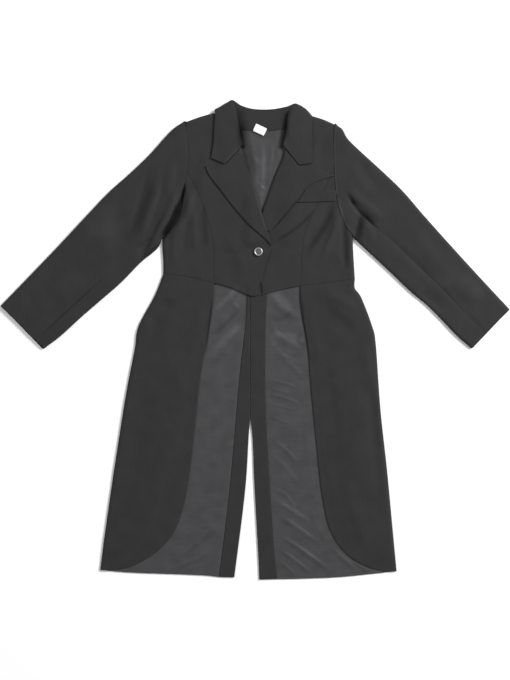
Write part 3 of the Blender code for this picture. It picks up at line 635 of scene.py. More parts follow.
def plan_points(loop, spacing):
    """The plan points of a fine mesh inside a loop: its ring, rings within it, then an even grid."""
    ring = inset(loop, EDGE_INSET)
    edge = [closed(ring)]
    points = [ring]
    for depth in RING_DEPTHS:
        inner = inset(loop, EDGE_INSET + depth)
        points.append(inner[distance(inner, edge) > 0.9 * depth])
    low, high = ring.min(0), ring.max(0)
    columns = np.arange(low[0], high[0], spacing)
    rows = np.arange(low[1], high[1], spacing * ROW_STEP)
    grid = np.array([(x + 0.5 * spacing * (i % 2), y) for i, y in enumerate(rows) for x in columns])
    grid = grid[crossings(grid, ring) % 2 == 1]
    points.append(grid[distance(grid, edge) > RING_DEPTHS[-1] + 0.35 * spacing])
    return ring, np.vstack(points)


def crossings(points, loop):
    """How many sides of the loop lie straight to the right of each point."""
    after = np.roll(loop, -1, axis=0)
    count = np.zeros(len(points), int)
    for a, b in zip(loop, after):
        if a[1] != b[1]:
            spans = (a[1] > points[:, 1]) != (b[1] > points[:, 1])
            count += spans & (points[:, 0] < a[0] + (points[:, 1] - a[1]) / (b[1] - a[1]) * (b[0] - a[0]))
    return count


def turned_down(height, low, far, radius):
    """A height that rounds down to a low one along lines that are so far away."""
    bend = 1 - np.clip((far - EDGE_INSET) / radius, 0, 1)
    return low + (height - low) * np.sqrt(1 - bend**2)


def laid(
    stands_for, loop, top, wall, slot, rests=None, folds=(), seams=(), pressed=(), rolls=(),
    spacing=None
):
    """A flat-lying piece cut to a loop. top gives its height at plan points. Its folds roll down to what it
    rests on, its rolls wrap round the edge below, its seams sink a little and its pressed seams lie
    level."""
    ring, points = plan_points(loop, spacing or bpy.context.scene.tailcoat.mesh_spacing)
    count = len(ring)
    lines = [(i, (i + 1) % count) for i in range(count)]
    plan, _, faces, _, _, _ = delaunay_2d_cdt([Vector(p) for p in points], lines, [], 1, 1e-4)
    plan = np.array([tuple(p) for p in plan])
    faces = np.array(faces)
    edge = distance(plan, [closed(ring)])

    height = top(plan)
    drop = EDGE_DROP
    if seams:
        near = distance(plan, [*seams, *pressed])
        drop = SEWN_DROP + (EDGE_DROP - SEWN_DROP) * ease((near - SEAM_PRESS) / SEAM_PRESS)
        near = distance(plan, seams)
        pucker = 1 + SEAM_PUCKER * ripple(plan, 9, 1, 3.1)
        height = height - SEAM_SINK * pucker * (1 - ease(near / SEAM_REACH)) ** 2
    if folds:
        height = turned_down(height, rests + FOLD_LIFT, distance(plan, folds), FOLD_RADIUS)
    if rolls:
        low = height - wall - LAY_GAP - 0.6 * CLOTH
        height = turned_down(height, low, distance(plan, rolls), ROLL_RADIUS)
    skin = np.column_stack([plan, height])
    normals = vertex_normals(skin, faces)
    if normals[:, 2].mean() < 0:
        normals = -normals
        faces = faces[:, ::-1]
    under = height - wall / np.maximum(normals[:, 2], STEEPEST)
    if rests is not None:
        under = np.maximum(under, rests)
    rounded = height - drop * wall / CLOTH * (1 - np.sqrt(1 - (1 - np.clip(edge / EDGE_RADIUS, 0, 1)) ** 2))
    if folds or rolls:
        near = np.minimum(distance(plan, [*folds, *rolls]) / EDGE_RADIUS, 1)
        rounded = height + (rounded - height) * near
    outer = np.column_stack([plan, rounded])
    inner = np.column_stack([plan, np.minimum(under, rounded - THINNEST)])
    piece = shell(f"{stands_for}_cloth", outer, inner, faces, slot)
    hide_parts(stands_for)
    flat, area = cut_size(loop)
    return piece


def lofted(stands_for, rows, wall, slot, floor=None):
    """A piece through rows of points, its wall behind the side that its faces look to."""
    count, columns = rows.shape[:2]
    points = rows.reshape(-1, 3)
    r, c = np.meshgrid(np.arange(count - 1), np.arange(columns - 1), indexing="ij")
    first = (r * columns + c).ravel()
    faces = np.stack([first, first + 1, first + columns + 1, first + columns], 1)
    normals = vertex_normals(points, faces)
    inner = points - normals * wall
    if floor is not None:
        inner[:, 2] = np.maximum(inner[:, 2], floor)
    piece = shell(f"{stands_for}_cloth", points, inner, faces, slot)
    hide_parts(stands_for)
    return piece


# ---- Heights ----


def shell_folds(points):
    return crease_height(points, SHELL_CREASES) + ripple(points, 60, 0.9, 1.3) + ripple(points, 21, 0.22, 7.7)


def left_front_top(points):
    drop = LAP_DROP * ease((LAP_START_X - points[:, 0]) / LAP_BLEND)
    return FRONT_TOP - drop + shell_folds(points)


def right_front_top(points):
    x, y = points.T
    across, low, high = LIFT_BLENDS
    over_lapel = ease((x - LIFT_LEFT_X) / across) * ease((y - LIFT_LOW_Y) / low)
    over_lapel *= ease((LIFT_HIGH_Y - y) / high)
    lap = LAP_RISE * ease((x - LAP_RISE_X) / LAP_RISE_BLEND)
    return FRONT_TOP + lap + LAPEL_LIFT * over_lapel + shell_folds(points)


def skirt_top(edge):
    """Skirts rise from the lining at their free edge to the height of the fronts."""

    def top(points):
        rise = ease((points[:, 1] - SKIRT_HIP) / SKIRT_RISE)
        rise = np.maximum(ease(distance(points, [edge]) / SKIRT_RISE), rise)
        folds = shell_folds(points)
        folds = np.maximum(folds, folds * rise)
        return SKIRT_EDGE_TOP + (FRONT_TOP - SKIRT_EDGE_TOP) * rise + folds

    return top


def lining_top(creases, base=LINING_TOP):
    """Lining lies at its level and its folds stand up from it, rounded off where they start."""

    def top(points):
        folds = crease_height(points, creases) + ripple(points, 24, 0.35, 4.4) + ripple(points, 9, 0.1, 8.8)
        return base + 0.3 + np.log1p(np.exp(3 * folds)) / 3

    return top


def facing_top(points):
    return FACING_TOP + 0.25 * np.abs(ripple(points, 40, 1, 2.2)) + 0.1 * np.abs(ripple(points, 12, 1, 5.2))


def level(height):
    return lambda points: np.full(len(points), float(height))


def raised(top, rise):
    return lambda points: top(points) + rise


# ---- Materials ----

WEAVE_OUTPUTS = ("Height", "Shade", "Mottle")


def weave_group(name):
    """A shader node group from a Scale to a weave's height, its shade and a mottle."""
    tree = bpy.data.node_groups.new(name, "ShaderNodeTree")
    tree.interface.new_socket("Scale", in_out="INPUT", socket_type="NodeSocketFloat")
    for output in WEAVE_OUTPUTS:
        tree.interface.new_socket(output, in_out="OUTPUT", socket_type="NodeSocketFloat")
    source, sink = tree.nodes.new("NodeGroupInput"), tree.nodes.new("NodeGroupOutput")
    place = object_place(tree)
    spread = node(tree, "ShaderNodeVectorMath", {0: place}, operation="SCALE")
    tree.links.new(source.outputs["Scale"], spread.inputs["Scale"])
    return tree, place, spread.outputs[0], sink


def node(tree, kind, inputs=(), **settings):
    """A node with its settings, and its inputs given as values or as sockets to link from."""
    made_node = tree.nodes.new(kind)
    for key, value in settings.items():
        setattr(made_node, key, value)
    for key, value in dict(inputs).items():
        if isinstance(value, bpy.types.NodeSocket):
            tree.links.new(value, made_node.inputs[key])
        else:
            made_node.inputs[key].default_value = value
    return made_node


def maths(tree, operation, *values):
    found = node(tree, "ShaderNodeMath", dict(enumerate(values)), operation=operation)
    return found.outputs[0]


def new_material(name):
    """A material with its node tree and its Principled shader."""
    material = bpy.data.materials.new(name)
    material.use_nodes = True
    return material, material.node_tree, material.node_tree.nodes["Principled BSDF"]


def object_place(tree):
    return node(tree, "ShaderNodeTexCoord").outputs["Object"]


def noise_value(tree, place, scale, detail):
    return node(tree, "ShaderNodeTexNoise", {"Vector": place, "Scale": scale, "Detail": detail}).outputs[0]


def stretched(tree, place, scale):
    return node(tree, "ShaderNodeMapping", {"Vector": place, "Scale": scale}).outputs[0]


def ranged(tree, value, low, high, start=0.3, end=0.7):
    """A value that runs from start to end, made to run from low to high."""
    limits = {"Value": value, "From Min": start, "From Max": end, "To Min": low, "To Max": high}
    return node(tree, "ShaderNodeMapRange", limits).outputs[0]


def shaded(tree, factor, colour, scale):
    """A colour that goes over to a scaled one with the factor."""
    colours = {"Factor": factor, "A": (*colour, 1), "B": (*[scale * c for c in colour], 1)}
    return node(tree, "ShaderNodeMix", colours, data_type="RGBA").outputs[2]


def twill_group():
    """Fine diagonal twill, with a mottle as of a brushed, slightly worn nap."""
    tree, place, fine, sink = weave_group("Twill")
    ribs = node(
        tree, "ShaderNodeTexWave", {"Vector": fine, "Scale": 1.0, "Distortion": 0.7, "Detail": 1.0},
        wave_type="BANDS", bands_direction="DIAGONAL"
    ).outputs["Fac"]
    yarn = noise_value(tree, fine, 2.6, 2.0)
    slub = noise_value(tree, stretched(tree, place, (900, 45, 300)), 1.0, 3.0)
    height = maths(tree, "ADD", maths(tree, "MULTIPLY", ribs, 0.6), maths(tree, "MULTIPLY", yarn, 0.5))
    shade = maths(tree, "ADD", maths(tree, "MULTIPLY", slub, 0.5), maths(tree, "MULTIPLY", yarn, 0.5))
    for name, value in zip(WEAVE_OUTPUTS, (height, shade, noise_value(tree, place, 26.0, 4.0))):
        tree.links.new(value, sink.inputs[name])
    return tree


def satin_group():
    """Satin: long floats across, faint slubs along them and a soft mottle."""
    tree, place, fine, sink = weave_group("Satin")
    floats = noise_value(tree, stretched(tree, fine, (2.4, 0.35, 1)), 1.0, 2.0)
    slub = noise_value(tree, stretched(tree, place, (16, 340, 60)), 1.0, 3.0)
    shade = maths(tree, "ADD", maths(tree, "MULTIPLY", slub, 0.6), maths(tree, "MULTIPLY", floats, 0.4))
    for name, value in zip(WEAVE_OUTPUTS, (floats, shade, noise_value(tree, place, 34.0, 3.0))):
        tree.links.new(value, sink.inputs[name])
    return tree


def shared_group(name):
    return bpy.data.node_groups.get(name) or {"Twill": twill_group, "Satin": satin_group}[name]()


# How strongly painted shade darkens the cloth's colour, and the range from painted light (below 0) to full
# painted shade (1)
PAINTED_SHADE_STRENGTH = 0.93
PAINTED_SHADE_AND_LIGHT_RANGE = (-0.6, 1)

# What each finish is made of: its weave, roughness, how far the shade swings, sheen and bump
Finish = namedtuple(
    "Finish", "weave scale roughness rough_swing shade_swing mottle_swing sheen sheen_rough bump specular"
)
FINISHES = {
    "coat_cloth": Finish("Twill", 1400.0, 0.72, 0.12, 0.15, 0.10, 0.03, 0.5, 0.18, 0.13),
    "lining": Finish("Satin", 1100.0, 0.50, 0.10, 0.12, 0.10, 0.05, 0.3, 0.08, 0.35),
    "label": Finish("Satin", 1500.0, 0.62, 0.1, 0.05, 0.03, 0.1, 0.4, 0.25, 0.3),
}
THREADS = {"coat_cloth": (0.03, 0.03, 0.032), "label": (0.8, 0.79, 0.77)}


def cloth_material(slot):
    """Woven cloth: colour and roughness vary with the weave, and the weave's height bumps it. Painted shade
    stored on the mesh darkens the colour in the cloth's hollows and folds, and painted light lightens it in
    places.
    """
    finish = FINISHES[slot]
    material, tree, shader = new_material(f"{slot}_finish")
    weave = node(tree, "ShaderNodeGroup", node_tree=shared_group(finish.weave))
    weave.inputs["Scale"].default_value = finish.scale
    shade = ranged(tree, weave.outputs["Shade"], 1 - finish.shade_swing, 1 + finish.shade_swing)
    mottle = ranged(tree, weave.outputs["Mottle"], 1 - finish.mottle_swing, 1 + finish.mottle_swing)
    # painted shade and painted light from the mesh make the colour darker, or lighter below 0
    painted_shade_and_light = node(tree, "ShaderNodeAttribute", attribute_name="painted_shade_and_light").outputs["Fac"]
    painted_shade_factor = maths(tree, "SUBTRACT", 1.0, maths(tree, "MULTIPLY", painted_shade_and_light, PAINTED_SHADE_STRENGTH))
    colour = tuple(getattr(bpy.context.scene.tailcoat, slot))
    tint = node(tree, "ShaderNodeVectorMath", {0: colour}, operation="SCALE")
    tree.links.new(maths(tree, "MULTIPLY", maths(tree, "MULTIPLY", shade, mottle), painted_shade_factor), tint.inputs["Scale"])
    tree.links.new(tint.outputs[0], shader.inputs["Base Color"])
    swing = finish.rough_swing / 2
    rough = ranged(tree, weave.outputs["Mottle"], finish.roughness - swing, finish.roughness + swing)
    tree.links.new(rough, shader.inputs["Roughness"])
    bump = node(tree, "ShaderNodeBump", {"Strength": finish.bump, "Distance": 0.0002})
    tree.links.new(weave.outputs["Height"], bump.inputs["Height"])
    tree.links.new(bump.outputs[0], shader.inputs["Normal"])
    shader.inputs["Sheen Weight"].default_value = finish.sheen
    shader.inputs["Sheen Roughness"].default_value = finish.sheen_rough
    shader.inputs["Specular IOR Level"].default_value = finish.specular
    return material


def metal_material(slot):
    """Polished plated metal with fine wear."""
    material, tree, shader = new_material(f"{slot}_finish")
    wear = noise_value(tree, object_place(tree), 900.0, 3.0)
    tree.links.new(ranged(tree, wear, 0.34, 0.5, 0.35, 0.7), shader.inputs["Roughness"])
    colour = getattr(bpy.context.scene.tailcoat, slot)
    tree.links.new(shaded(tree, wear, colour, 0.82), shader.inputs["Base Color"])
    shader.inputs["Metallic"].default_value = 1
    return material


def gloss_material(slot):
    """Dark enamel with a soft clouded depth."""
    material, tree, shader = new_material(f"{slot}_finish")
    cloud = noise_value(tree, object_place(tree), 420.0, 3.0)
    colour = getattr(bpy.context.scene.tailcoat, slot)
    tree.links.new(shaded(tree, cloud, colour, 2.2), shader.inputs["Base Color"])
    tree.links.new(ranged(tree, cloud, 0.3, 0.5, 0, 1), shader.inputs["Roughness"])
    shader.inputs["Specular IOR Level"].default_value = 0.3
    return material


def thread_material(name, colour):
    """Sewing thread: two plies twisted round each other."""
    material, tree, shader = new_material(name)
    waves = {"Vector": object_place(tree), "Scale": 900.0, "Distortion": 1.0}
    ply = node(tree, "ShaderNodeTexWave", waves, wave_type="BANDS").outputs["Fac"]
    tree.links.new(shaded(tree, ply, colour, 0.6), shader.inputs["Base Color"])
    bump = node(tree, "ShaderNodeBump", {"Strength": 0.3, "Distance": 0.0001, "Height": ply})
    tree.links.new(bump.outputs[0], shader.inputs["Normal"])
    shader.inputs["Roughness"].default_value = 0.55
    shader.inputs["Sheen Weight"].default_value = 0.2
    return material


def finish_for(slot):
    """The material of a slot, made the first time it is asked for."""
    found = bpy.data.materials.get(f"{slot}_finish")
    if found:
        return found
    if slot in FINISHES:
        return cloth_material(slot)
    return {"button_metal": metal_material, "button_centre": gloss_material}[slot](slot)


def thread_for(slot):
    name = f"{slot}_thread"
    return bpy.data.materials.get(name) or thread_material(name, THREADS[slot])


# ---- Pieces ----


def build_backs():
    centre = straight([VENT_RIGHT[0], NECK_SEAM_RIGHT[0]])
    for side, armhole, body, flank, shoulder, neck, vent, hem in (
        (
            "right", ARMHOLE_RIGHT, SIDE_RIGHT_LOW, FLANK_RIGHT, SHOULDER_RIGHT, NECK_SEAM_RIGHT, VENT_RIGHT,
            HEM_RIGHT
        ),
        ("left", ARMHOLE_LEFT, SIDE_LEFT, FLANK_LEFT, SHOULDER_LEFT, NECK_SEAM_LEFT, VENT_LEFT, HEM_LEFT),
    ):
        reach = moved_aside(armhole, BACK_REACH if side == "right" else -BACK_REACH)
        reach[0], reach[-1] = armhole[0], armhole[-1]
        loop = outline(centre, neck, shoulder[::-1], reach[::-1], body, flank, hem[::-1], vent[::-1])
        laid(f"back_{side}", loop, level(CLOTH), CLOTH, "coat_cloth", spacing=7)


def build_linings():
    rests = CLOTH + SEAM_GAP
    laid(
        "back_lining", outline(NECK_LINING[:2], NECK_LINING[1:]), lining_top(NECK_CREASES, LINING_TOP - 0.3),
        LINING_CLOTH, "lining", rests, spacing=2.2
    )
    for side, sign, facing, edge, hem, limit in (
        ("right", -1, FACING_RIGHT, SKIRT_EDGE_RIGHT, HEM_RIGHT, LINING_SIDE_RIGHT),
        ("left", 1, FACING_LEFT, SKIRT_EDGE_LEFT, HEM_LEFT, LINING_SIDE_LEFT),
    ):
        across, along = edge[:-STEPS].T
        across = sign * np.minimum(np.abs(across) + LINING_REACH, limit)
        hidden = np.column_stack([across, np.minimum(along + LINING_MARGIN, LINING_HIGHEST)])
        seam_end = np.linalg.norm(hem - facing[-1], axis=1).argmin()
        hem_line = hem[seam_end:]
        hem_line = hem_line[np.abs(hem_line[:, 0]) < limit - LINING_CORNER]
        corner = straight([hem_line[-1], (sign * limit, LINING_CORNER_Y)])
        far_side = np.vstack([corner[-1:], hidden[::-1]])
        loop = outline(facing, hem_line, corner, far_side, straight([hidden[0], facing[0]]))
        laid(
            f"tail_lining_{side}", loop, skirt_ceiling(edge, sign), LINING_CLOTH, "lining", rests,
            seams=[facing], spacing=2.6
        )


def skirt_ceiling(edge, sign):
    """The tail lining's height, kept low where the skirt lies over it."""
    free = lining_top(TAIL_CREASES, LINING_TOP - 0.3)

    def top(points):
        gap, _, side = nearest_in_batches(points, edge)
        over = np.where(side * sign < 0, -gap, gap)
        return LINING_TOP + (free(points) - LINING_TOP) * ease((1 - over) / LINING_BLEND)

    return top


def build_facings():
    for side, facing, vent, hem in (
        ("right", FACING_RIGHT, VENT_RIGHT, HEM_RIGHT),
        ("left", FACING_LEFT, VENT_LEFT, HEM_LEFT),
    ):
        seam_end = np.linalg.norm(hem - facing[-1], axis=1).argmin()
        top = straight([(CENTRE_X, facing[0][1]), facing[0]])
        centre = straight([(CENTRE_X, VENT_TOP), (CENTRE_X, facing[0][1])])
        loop = outline(top, facing, hem[: seam_end + 1][::-1], vent[::-1], centre)
        laid(
            f"vent_facing_{side}", loop, facing_top, CLOTH, "coat_cloth", CLOTH + SEAM_GAP,
            spacing=4
        )


def build_fronts():
    rests = CLOTH + SEAM_GAP
    roll = moved_aside(ROLL_RIGHT, -ROLL_IN)
    roll[-1] = ROLL_RIGHT[-1]
    right = outline(
        PRINCESS_RIGHT, FRONT_HEM_RIGHT, CLOSING_EDGE[::-1], roll[::-1], NECK_RIGHT[::-1],
        SHOULDER_RIGHT[::-1], ARMHOLE_RIGHT[PRINCESS_TOP_RIGHT:][::-1]
    )
    right_folds = (SIDE_RIGHT, FLANK_RIGHT, SHOULDER_RIGHT)
    left_folds = (SIDE_LEFT, FLANK_LEFT, SHOULDER_LEFT)
    laid(
        "front_right", right, right_front_top, CLOTH, "coat_cloth", rests, right_folds,
        (PRINCESS_RIGHT, ARMHOLE_RIGHT)
    )
    side = outline(
        PRINCESS_RIGHT, WAIST_RIGHT[::-1], SIDE_RIGHT[::-1],
        ARMHOLE_RIGHT[JUNCTION_RIGHT: PRINCESS_TOP_RIGHT + 1]
    )
    laid(
        "side_front_right", side, right_front_top, CLOTH, "coat_cloth", rests, right_folds,
        (PRINCESS_RIGHT, ARMHOLE_RIGHT, WAIST_RIGHT)
    )
    roll = moved_aside(ROLL_LEFT, ROLL_IN)
    roll[-1] = ROLL_LEFT[-1]
    left = outline(
        PRINCESS_LEFT, FRONT_HEM_LEFT, UNDER_EDGE[::-1], roll[::-1], NECK_LEFT[::-1],
        SHOULDER_LEFT[::-1], ARMHOLE_LEFT[PRINCESS_TOP_LEFT:][::-1]
    )
    laid(
        "front_left", left, left_front_top, CLOTH, "coat_cloth", rests, left_folds,
        (PRINCESS_LEFT,), (ARMHOLE_LEFT,)
    )
    side = outline(
        PRINCESS_LEFT, WAIST_LEFT[::-1], SIDE_LEFT[::-1], ARMHOLE_LEFT[JUNCTION_LEFT: PRINCESS_TOP_LEFT + 1]
    )
    laid(
        "side_front_left", side, left_front_top, CLOTH, "coat_cloth", rests, left_folds,
        (PRINCESS_LEFT, WAIST_LEFT), (ARMHOLE_LEFT,)
    )


def build_skirts():
    for side, body, flank, waist, edge, corner in (
        ("right", SIDE_RIGHT, FLANK_RIGHT, WAIST_RIGHT, SKIRT_EDGE_RIGHT, HEM_CORNER_RIGHT),
        ("left", SIDE_LEFT, FLANK_LEFT, WAIST_LEFT, SKIRT_EDGE_LEFT, HEM_CORNER_LEFT),
    ):
        loop = outline(waist, edge, corner, flank[::-1])
        laid(
            f"skirt_{side}", loop, skirt_top(edge), CLOTH, "coat_cloth", CLOTH + SEAM_GAP, (body, flank),
            (waist,)
        )


def at_fraction(line, t):
    """The point at fraction t of a line's length."""
    run = np.concatenate([[0], np.cumsum(np.linalg.norm(np.diff(line, axis=0), axis=1))])
    return np.array([np.interp(t * run[-1], run, line[:, axis]) for axis in range(line.shape[1])])


def rounded_off(far, radius):
    """How far down a round edge has come, from 1 at the edge to 0 at its radius."""
    return 1 - math.sqrt(1 - max(1 - far / radius, 0) ** 2)


def sleeve_rows(lower, upper, armhole, open_part, sink, profile):
    """Rows from cuff to armhole. profile lists (fraction across, shift in from it, height, on top). Up to
    the open part of the armhole the sleeve's end rolls down to its seam."""
    even = np.linspace(*SLEEVE_ROW_ENDS, bpy.context.scene.tailcoat.sleeve_rows)
    ts = np.concatenate([np.array(CUFF_ROWS) / SLEEVE_LENGTH, even, 1 - np.array(HEAD_ROWS) / SLEEVE_LENGTH])
    fractions, shifts, heights, on_top = (np.array(values, float) for values in zip(*profile))
    seam = np.stack([at_fraction(armhole, f) for f in fractions])
    rows = []
    for t in ts:
        low, high = at_fraction(lower, t), at_fraction(upper, t)
        across = (high - low) / np.linalg.norm(high - low)
        outward = np.array([across[1], -across[0]])
        if np.dot(outward, low - at_fraction(lower, min(t + 0.1, 1.1))) < 0:
            outward = -outward
        place = low + np.outer(fractions, high - low)
        place += (seam - (armhole[0] + np.outer(fractions, armhole[-1] - armhole[0]))) * t**4
        place += shifts[:, None] * across
        place += outward * (CUFF_UNDER * (1.2 - fractions) * (1 - on_top) * ease(1 - t / 0.02))[:, None]
        to_seam = (1 - t) * SLEEVE_LENGTH
        rounding = EDGE_DROP * rounded_off(t * SLEEVE_LENGTH, EDGE_RADIUS)
        rounding += SEWN_DROP * rounded_off(to_seam, EDGE_RADIUS)
        height = heights + on_top * (shell_folds(place) - rounding)
        height -= on_top * sink * (1 - ease(to_seam / SEAM_REACH)) ** 2
        rolled = rounded_off(to_seam, FOLD_RADIUS)
        height -= on_top * ease((open_part - fractions) / 0.1) * rolled * (height - FACING_TOP)
        reach = ease(1 - to_seam / ARMHOLE_REACH) * np.where(on_top > 0.5, ARMHOLE_GAP, BACK_REACH + 0.5)
        rows.append(np.column_stack([place + outward * reach[:, None], height]))
    return np.stack(rows)


def turn_profile(fraction, sign, low, high, steps=9):
    """A round fold from a low level to a high one, as profile rows."""
    rows = []
    for i in range(steps):
        angle = math.pi * (i / (steps - 1) - 0.5)
        shift = sign * (SEAM_GAP + SLEEVE_FOLD_RADIUS * (1 - math.cos(angle)))
        up = 0.5 + 0.5 * math.sin(angle)
        rows.append((fraction, shift, low + (high - low) * up, up))
    return rows


def build_sleeves():
    bottom = CLOTH + SEAM_GAP
    even = np.linspace(0, 1, SLEEVE_COLUMNS)
    lip = [(out, SEAM_SINK + down) for out, down in SEAM_LIP] + list(SEAM_SLOPE)
    for side, lower, upper, armhole, seam, open_part, sink in (
        ("right", SLEEVE_LOWER_RIGHT, SLEEVE_UPPER_RIGHT, ARMHOLE_RIGHT, SLEEVE_SEAM_RIGHT, 0.5, SEAM_SINK),
        ("left", SLEEVE_LOWER_LEFT, SLEEVE_UPPER_LEFT, ARMHOLE_LEFT, SLEEVE_SEAM_LEFT, 0, 0),
    ):
        turn = 1 if side == "right" else -1
        under = [(f, 0, 0, 0) for f in even[::-1] if f > SLEEVE_MARGIN]
        under += turn_profile(0, 1, 0, SLEEVE_TOP)
        under += [(f, 0, SLEEVE_TOP, 1) for f in even if SLEEVE_MARGIN < f < seam - SLEEVE_MARGIN]
        under += [(seam, -SEAM_GAP / 2 - out, SLEEVE_TOP - down, 1) for out, down in reversed(lip)]
        rows = sleeve_rows(lower, upper, armhole, open_part, sink, under)
        lofted(f"under_sleeve_{side}", rows[::turn], CLOTH, "coat_cloth")
        over = [(seam, SEAM_GAP / 2 + out, SLEEVE_TOP - down, 1) for out, down in lip]
        over += [(f, 0, SLEEVE_TOP, 1) for f in even if seam + SLEEVE_MARGIN < f < 1 - SLEEVE_MARGIN]
        over += [row for row in turn_profile(1, -1, 0, SLEEVE_TOP)[::-1] if row[2] > bottom + 0.2]
        over += [(1, -SEAM_GAP, bottom + 0.1, 0)]
        rows = sleeve_rows(lower, upper, armhole, open_part, sink, over)
        lofted(
            f"top_sleeve_{side}", rows[::turn], CLOTH, "coat_cloth", bottom
        )


def build_lapels():
    rise = LAY_GAP + LAPEL_CLOTH
    roll = moved_aside(ROLL_RIGHT, ROLL_OUT)
    roll[-1] = ROLL_RIGHT[-1]
    top = LAPEL_TOP_RIGHT.copy()
    top[0] = roll[0]
    loop = outline(top, LAPEL_EDGE_RIGHT, roll[::-1])
    laid(
        "lapel_right", loop, raised(right_front_top, rise), LAPEL_CLOTH, "coat_cloth",
        rolls=(roll[: -STEPS // 2],), spacing=3.4
    )
    roll = moved_aside(ROLL_LEFT, -ROLL_OUT)
    roll = roll[roll[:, 1] > LEFT_ROLL_END]
    top = LAPEL_TOP_LEFT.copy()
    top[0] = roll[0]
    tip = straight([LAPEL_TIP_LEFT[0], roll[-1]])
    loop = outline(top, LAPEL_EDGE_LEFT, tip, roll[::-1])
    laid(
        "lapel_left", loop, raised(left_front_top, rise), LAPEL_CLOTH, "coat_cloth",
        rolls=(roll,), spacing=3.4
    )


def bowed(start, middle, end, t, sharp):
    """Points from start through middle to end: a bow, or two straight runs where sharp is 1."""
    bow = start * (1 - t) * (1 - 2 * t) + middle * 4 * t * (1 - t) + end * t * (2 * t - 1)
    runs = np.where(t < 0.5, start + (middle - start) * 2 * t, middle + (end - middle) * (2 * t - 1))
    return bow * (1 - sharp) + runs * sharp


def collar_row(roll, mid, edge, seam, stand_z, gorge):
    """From the stand's tucked foot up to its top, over the roll and down the fall."""
    fall = bowed(roll, mid, edge, np.linspace(ROLL_START, 1, FALL_POINTS)[:, None], gorge)
    fall[:, 2] = np.maximum(fall[:, 2], 0)
    inward = COLLAR_CENTRE - roll[:2]
    inward = inward / np.linalg.norm(inward)
    top = np.array([*(roll[:2] + inward * STAND_INSET), stand_z])
    out = fall[0] - fall[1]
    up = top - seam
    reach = COLLAR_ROLL_REACH * np.linalg.norm(top - fall[0])
    first = top + up / np.linalg.norm(up) * reach
    second = fall[0] + out / np.linalg.norm(out) * reach
    t = np.linspace(0, 1, STAND_POINTS)[:, None]
    over = top * (1 - t) ** 3 + 3 * first * t * (1 - t) ** 2 + 3 * second * t**2 * (1 - t) + fall[0] * t**3
    tuck = seam + np.array([*(inward * STAND_TUCK), -STAND_TUCK_DROP])
    return np.vstack([[tuck], (seam + up * t)[:-1], over[:-1], fall])


def build_collar():
    roll, mid, edge, seam = (
        smooth([getattr(s, key) for s in COLLAR], COLLAR_STEPS) for key in Station._fields[:4]
    )
    stand_z = smooth([(i, s.stand_z) for i, s in enumerate(COLLAR)], COLLAR_STEPS)[:, 1]
    from_end = np.minimum(np.arange(len(roll)), np.arange(len(roll))[::-1]) / COLLAR_STEPS
    gorge = np.maximum(1 - from_end, 0)
    rows = np.stack([collar_row(*parts) for parts in zip(roll, mid, edge, seam, stand_z, gorge)])
    plan = rows[:, :, :2]
    uneven = ripple(plan.reshape(-1, 2), 30, 0.35, 6.1).reshape(plan.shape[:2])
    rows[:, :, 2] += uneven * ease(rows[:, :, 2] / 4)
    for end, near in ((0, 1), (-1, -2)):
        back = rows[near] - rows[end]
        rows[end] += back / np.linalg.norm(back, axis=1)[:, None] * 2 * SEAM_GAP
    lofted("collar_stand", rows[:, : COLLAR_SPLIT + 1], CLOTH, "coat_cloth")
    lofted("collar_leaf", rows[:, COLLAR_SPLIT + 1:], COLLAR_CLOTH, "coat_cloth")


def build_welt():
    laid(
        "breast_welt", outline(closed(WELT)), raised(left_front_top, LAY_GAP + CLOTH), CLOTH, "coat_cloth",
        spacing=3
    )


def label_corners(margin=0.0):
    across = np.array([math.cos(LABEL_TURN), math.sin(LABEL_TURN)])
    down = np.array([across[1], -across[0]])
    wide, high = LABEL_SIZE[0] / 2 - margin, LABEL_SIZE[1] / 2 - margin
    corners = ((-1, -1), (1, -1), (1, 1), (-1, 1))
    return [np.array(LABEL_AT) + across * wide * x + down * high * y for x, y in corners]


def label_height(points):
    low_y, low_z = LABEL_LOW
    slope = LABEL_SLOPE * (points[:, 1] - low_y)
    return low_z + LABEL_LIFT + slope + np.abs(ripple(points, 12, 0.7, 9.4))


def build_label():
    laid(
        "neck_label", outline(closed(straight(label_corners()))), label_height, LABEL_CLOTH, "label",
        spacing=1.2
    )


def turned(name, profile, sides, slot):
    """A round piece about the button's axis from (radius, height) points."""
    base = right_front_top(np.array([BUTTON_AT]))[0] + BUTTON_SHANK
    profile = np.array(profile)
    turns = np.linspace(0, 2 * math.pi, sides, endpoint=False)
    x, y = BUTTON_AT
    points = np.array(
        [(x + r * math.cos(a), y + r * math.sin(a), base + z) for a in turns for r, z in profile]
    )
    count = len(profile)
    wraps = profile[0, 0] > 0
    faces = []
    for i in range(sides):
        after = (i + 1) % sides
        for c in range(count if wraps else count - 1):
            d = (c + 1) % count
            if wraps or profile[c, 0] > 0 and profile[d, 0] > 0:
                faces.append((i * count + c, i * count + d, after * count + d, after * count + c)[::-1])
            elif profile[c, 0] > 0:
                faces.append((i * count + c, i * count + d, after * count + c)[::-1])
            else:
                faces.append((i * count + c, i * count + d, after * count + d)[::-1])
    piece = made(f"{name}_turned", points, faces, slot, 40)
    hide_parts(name)
    return piece


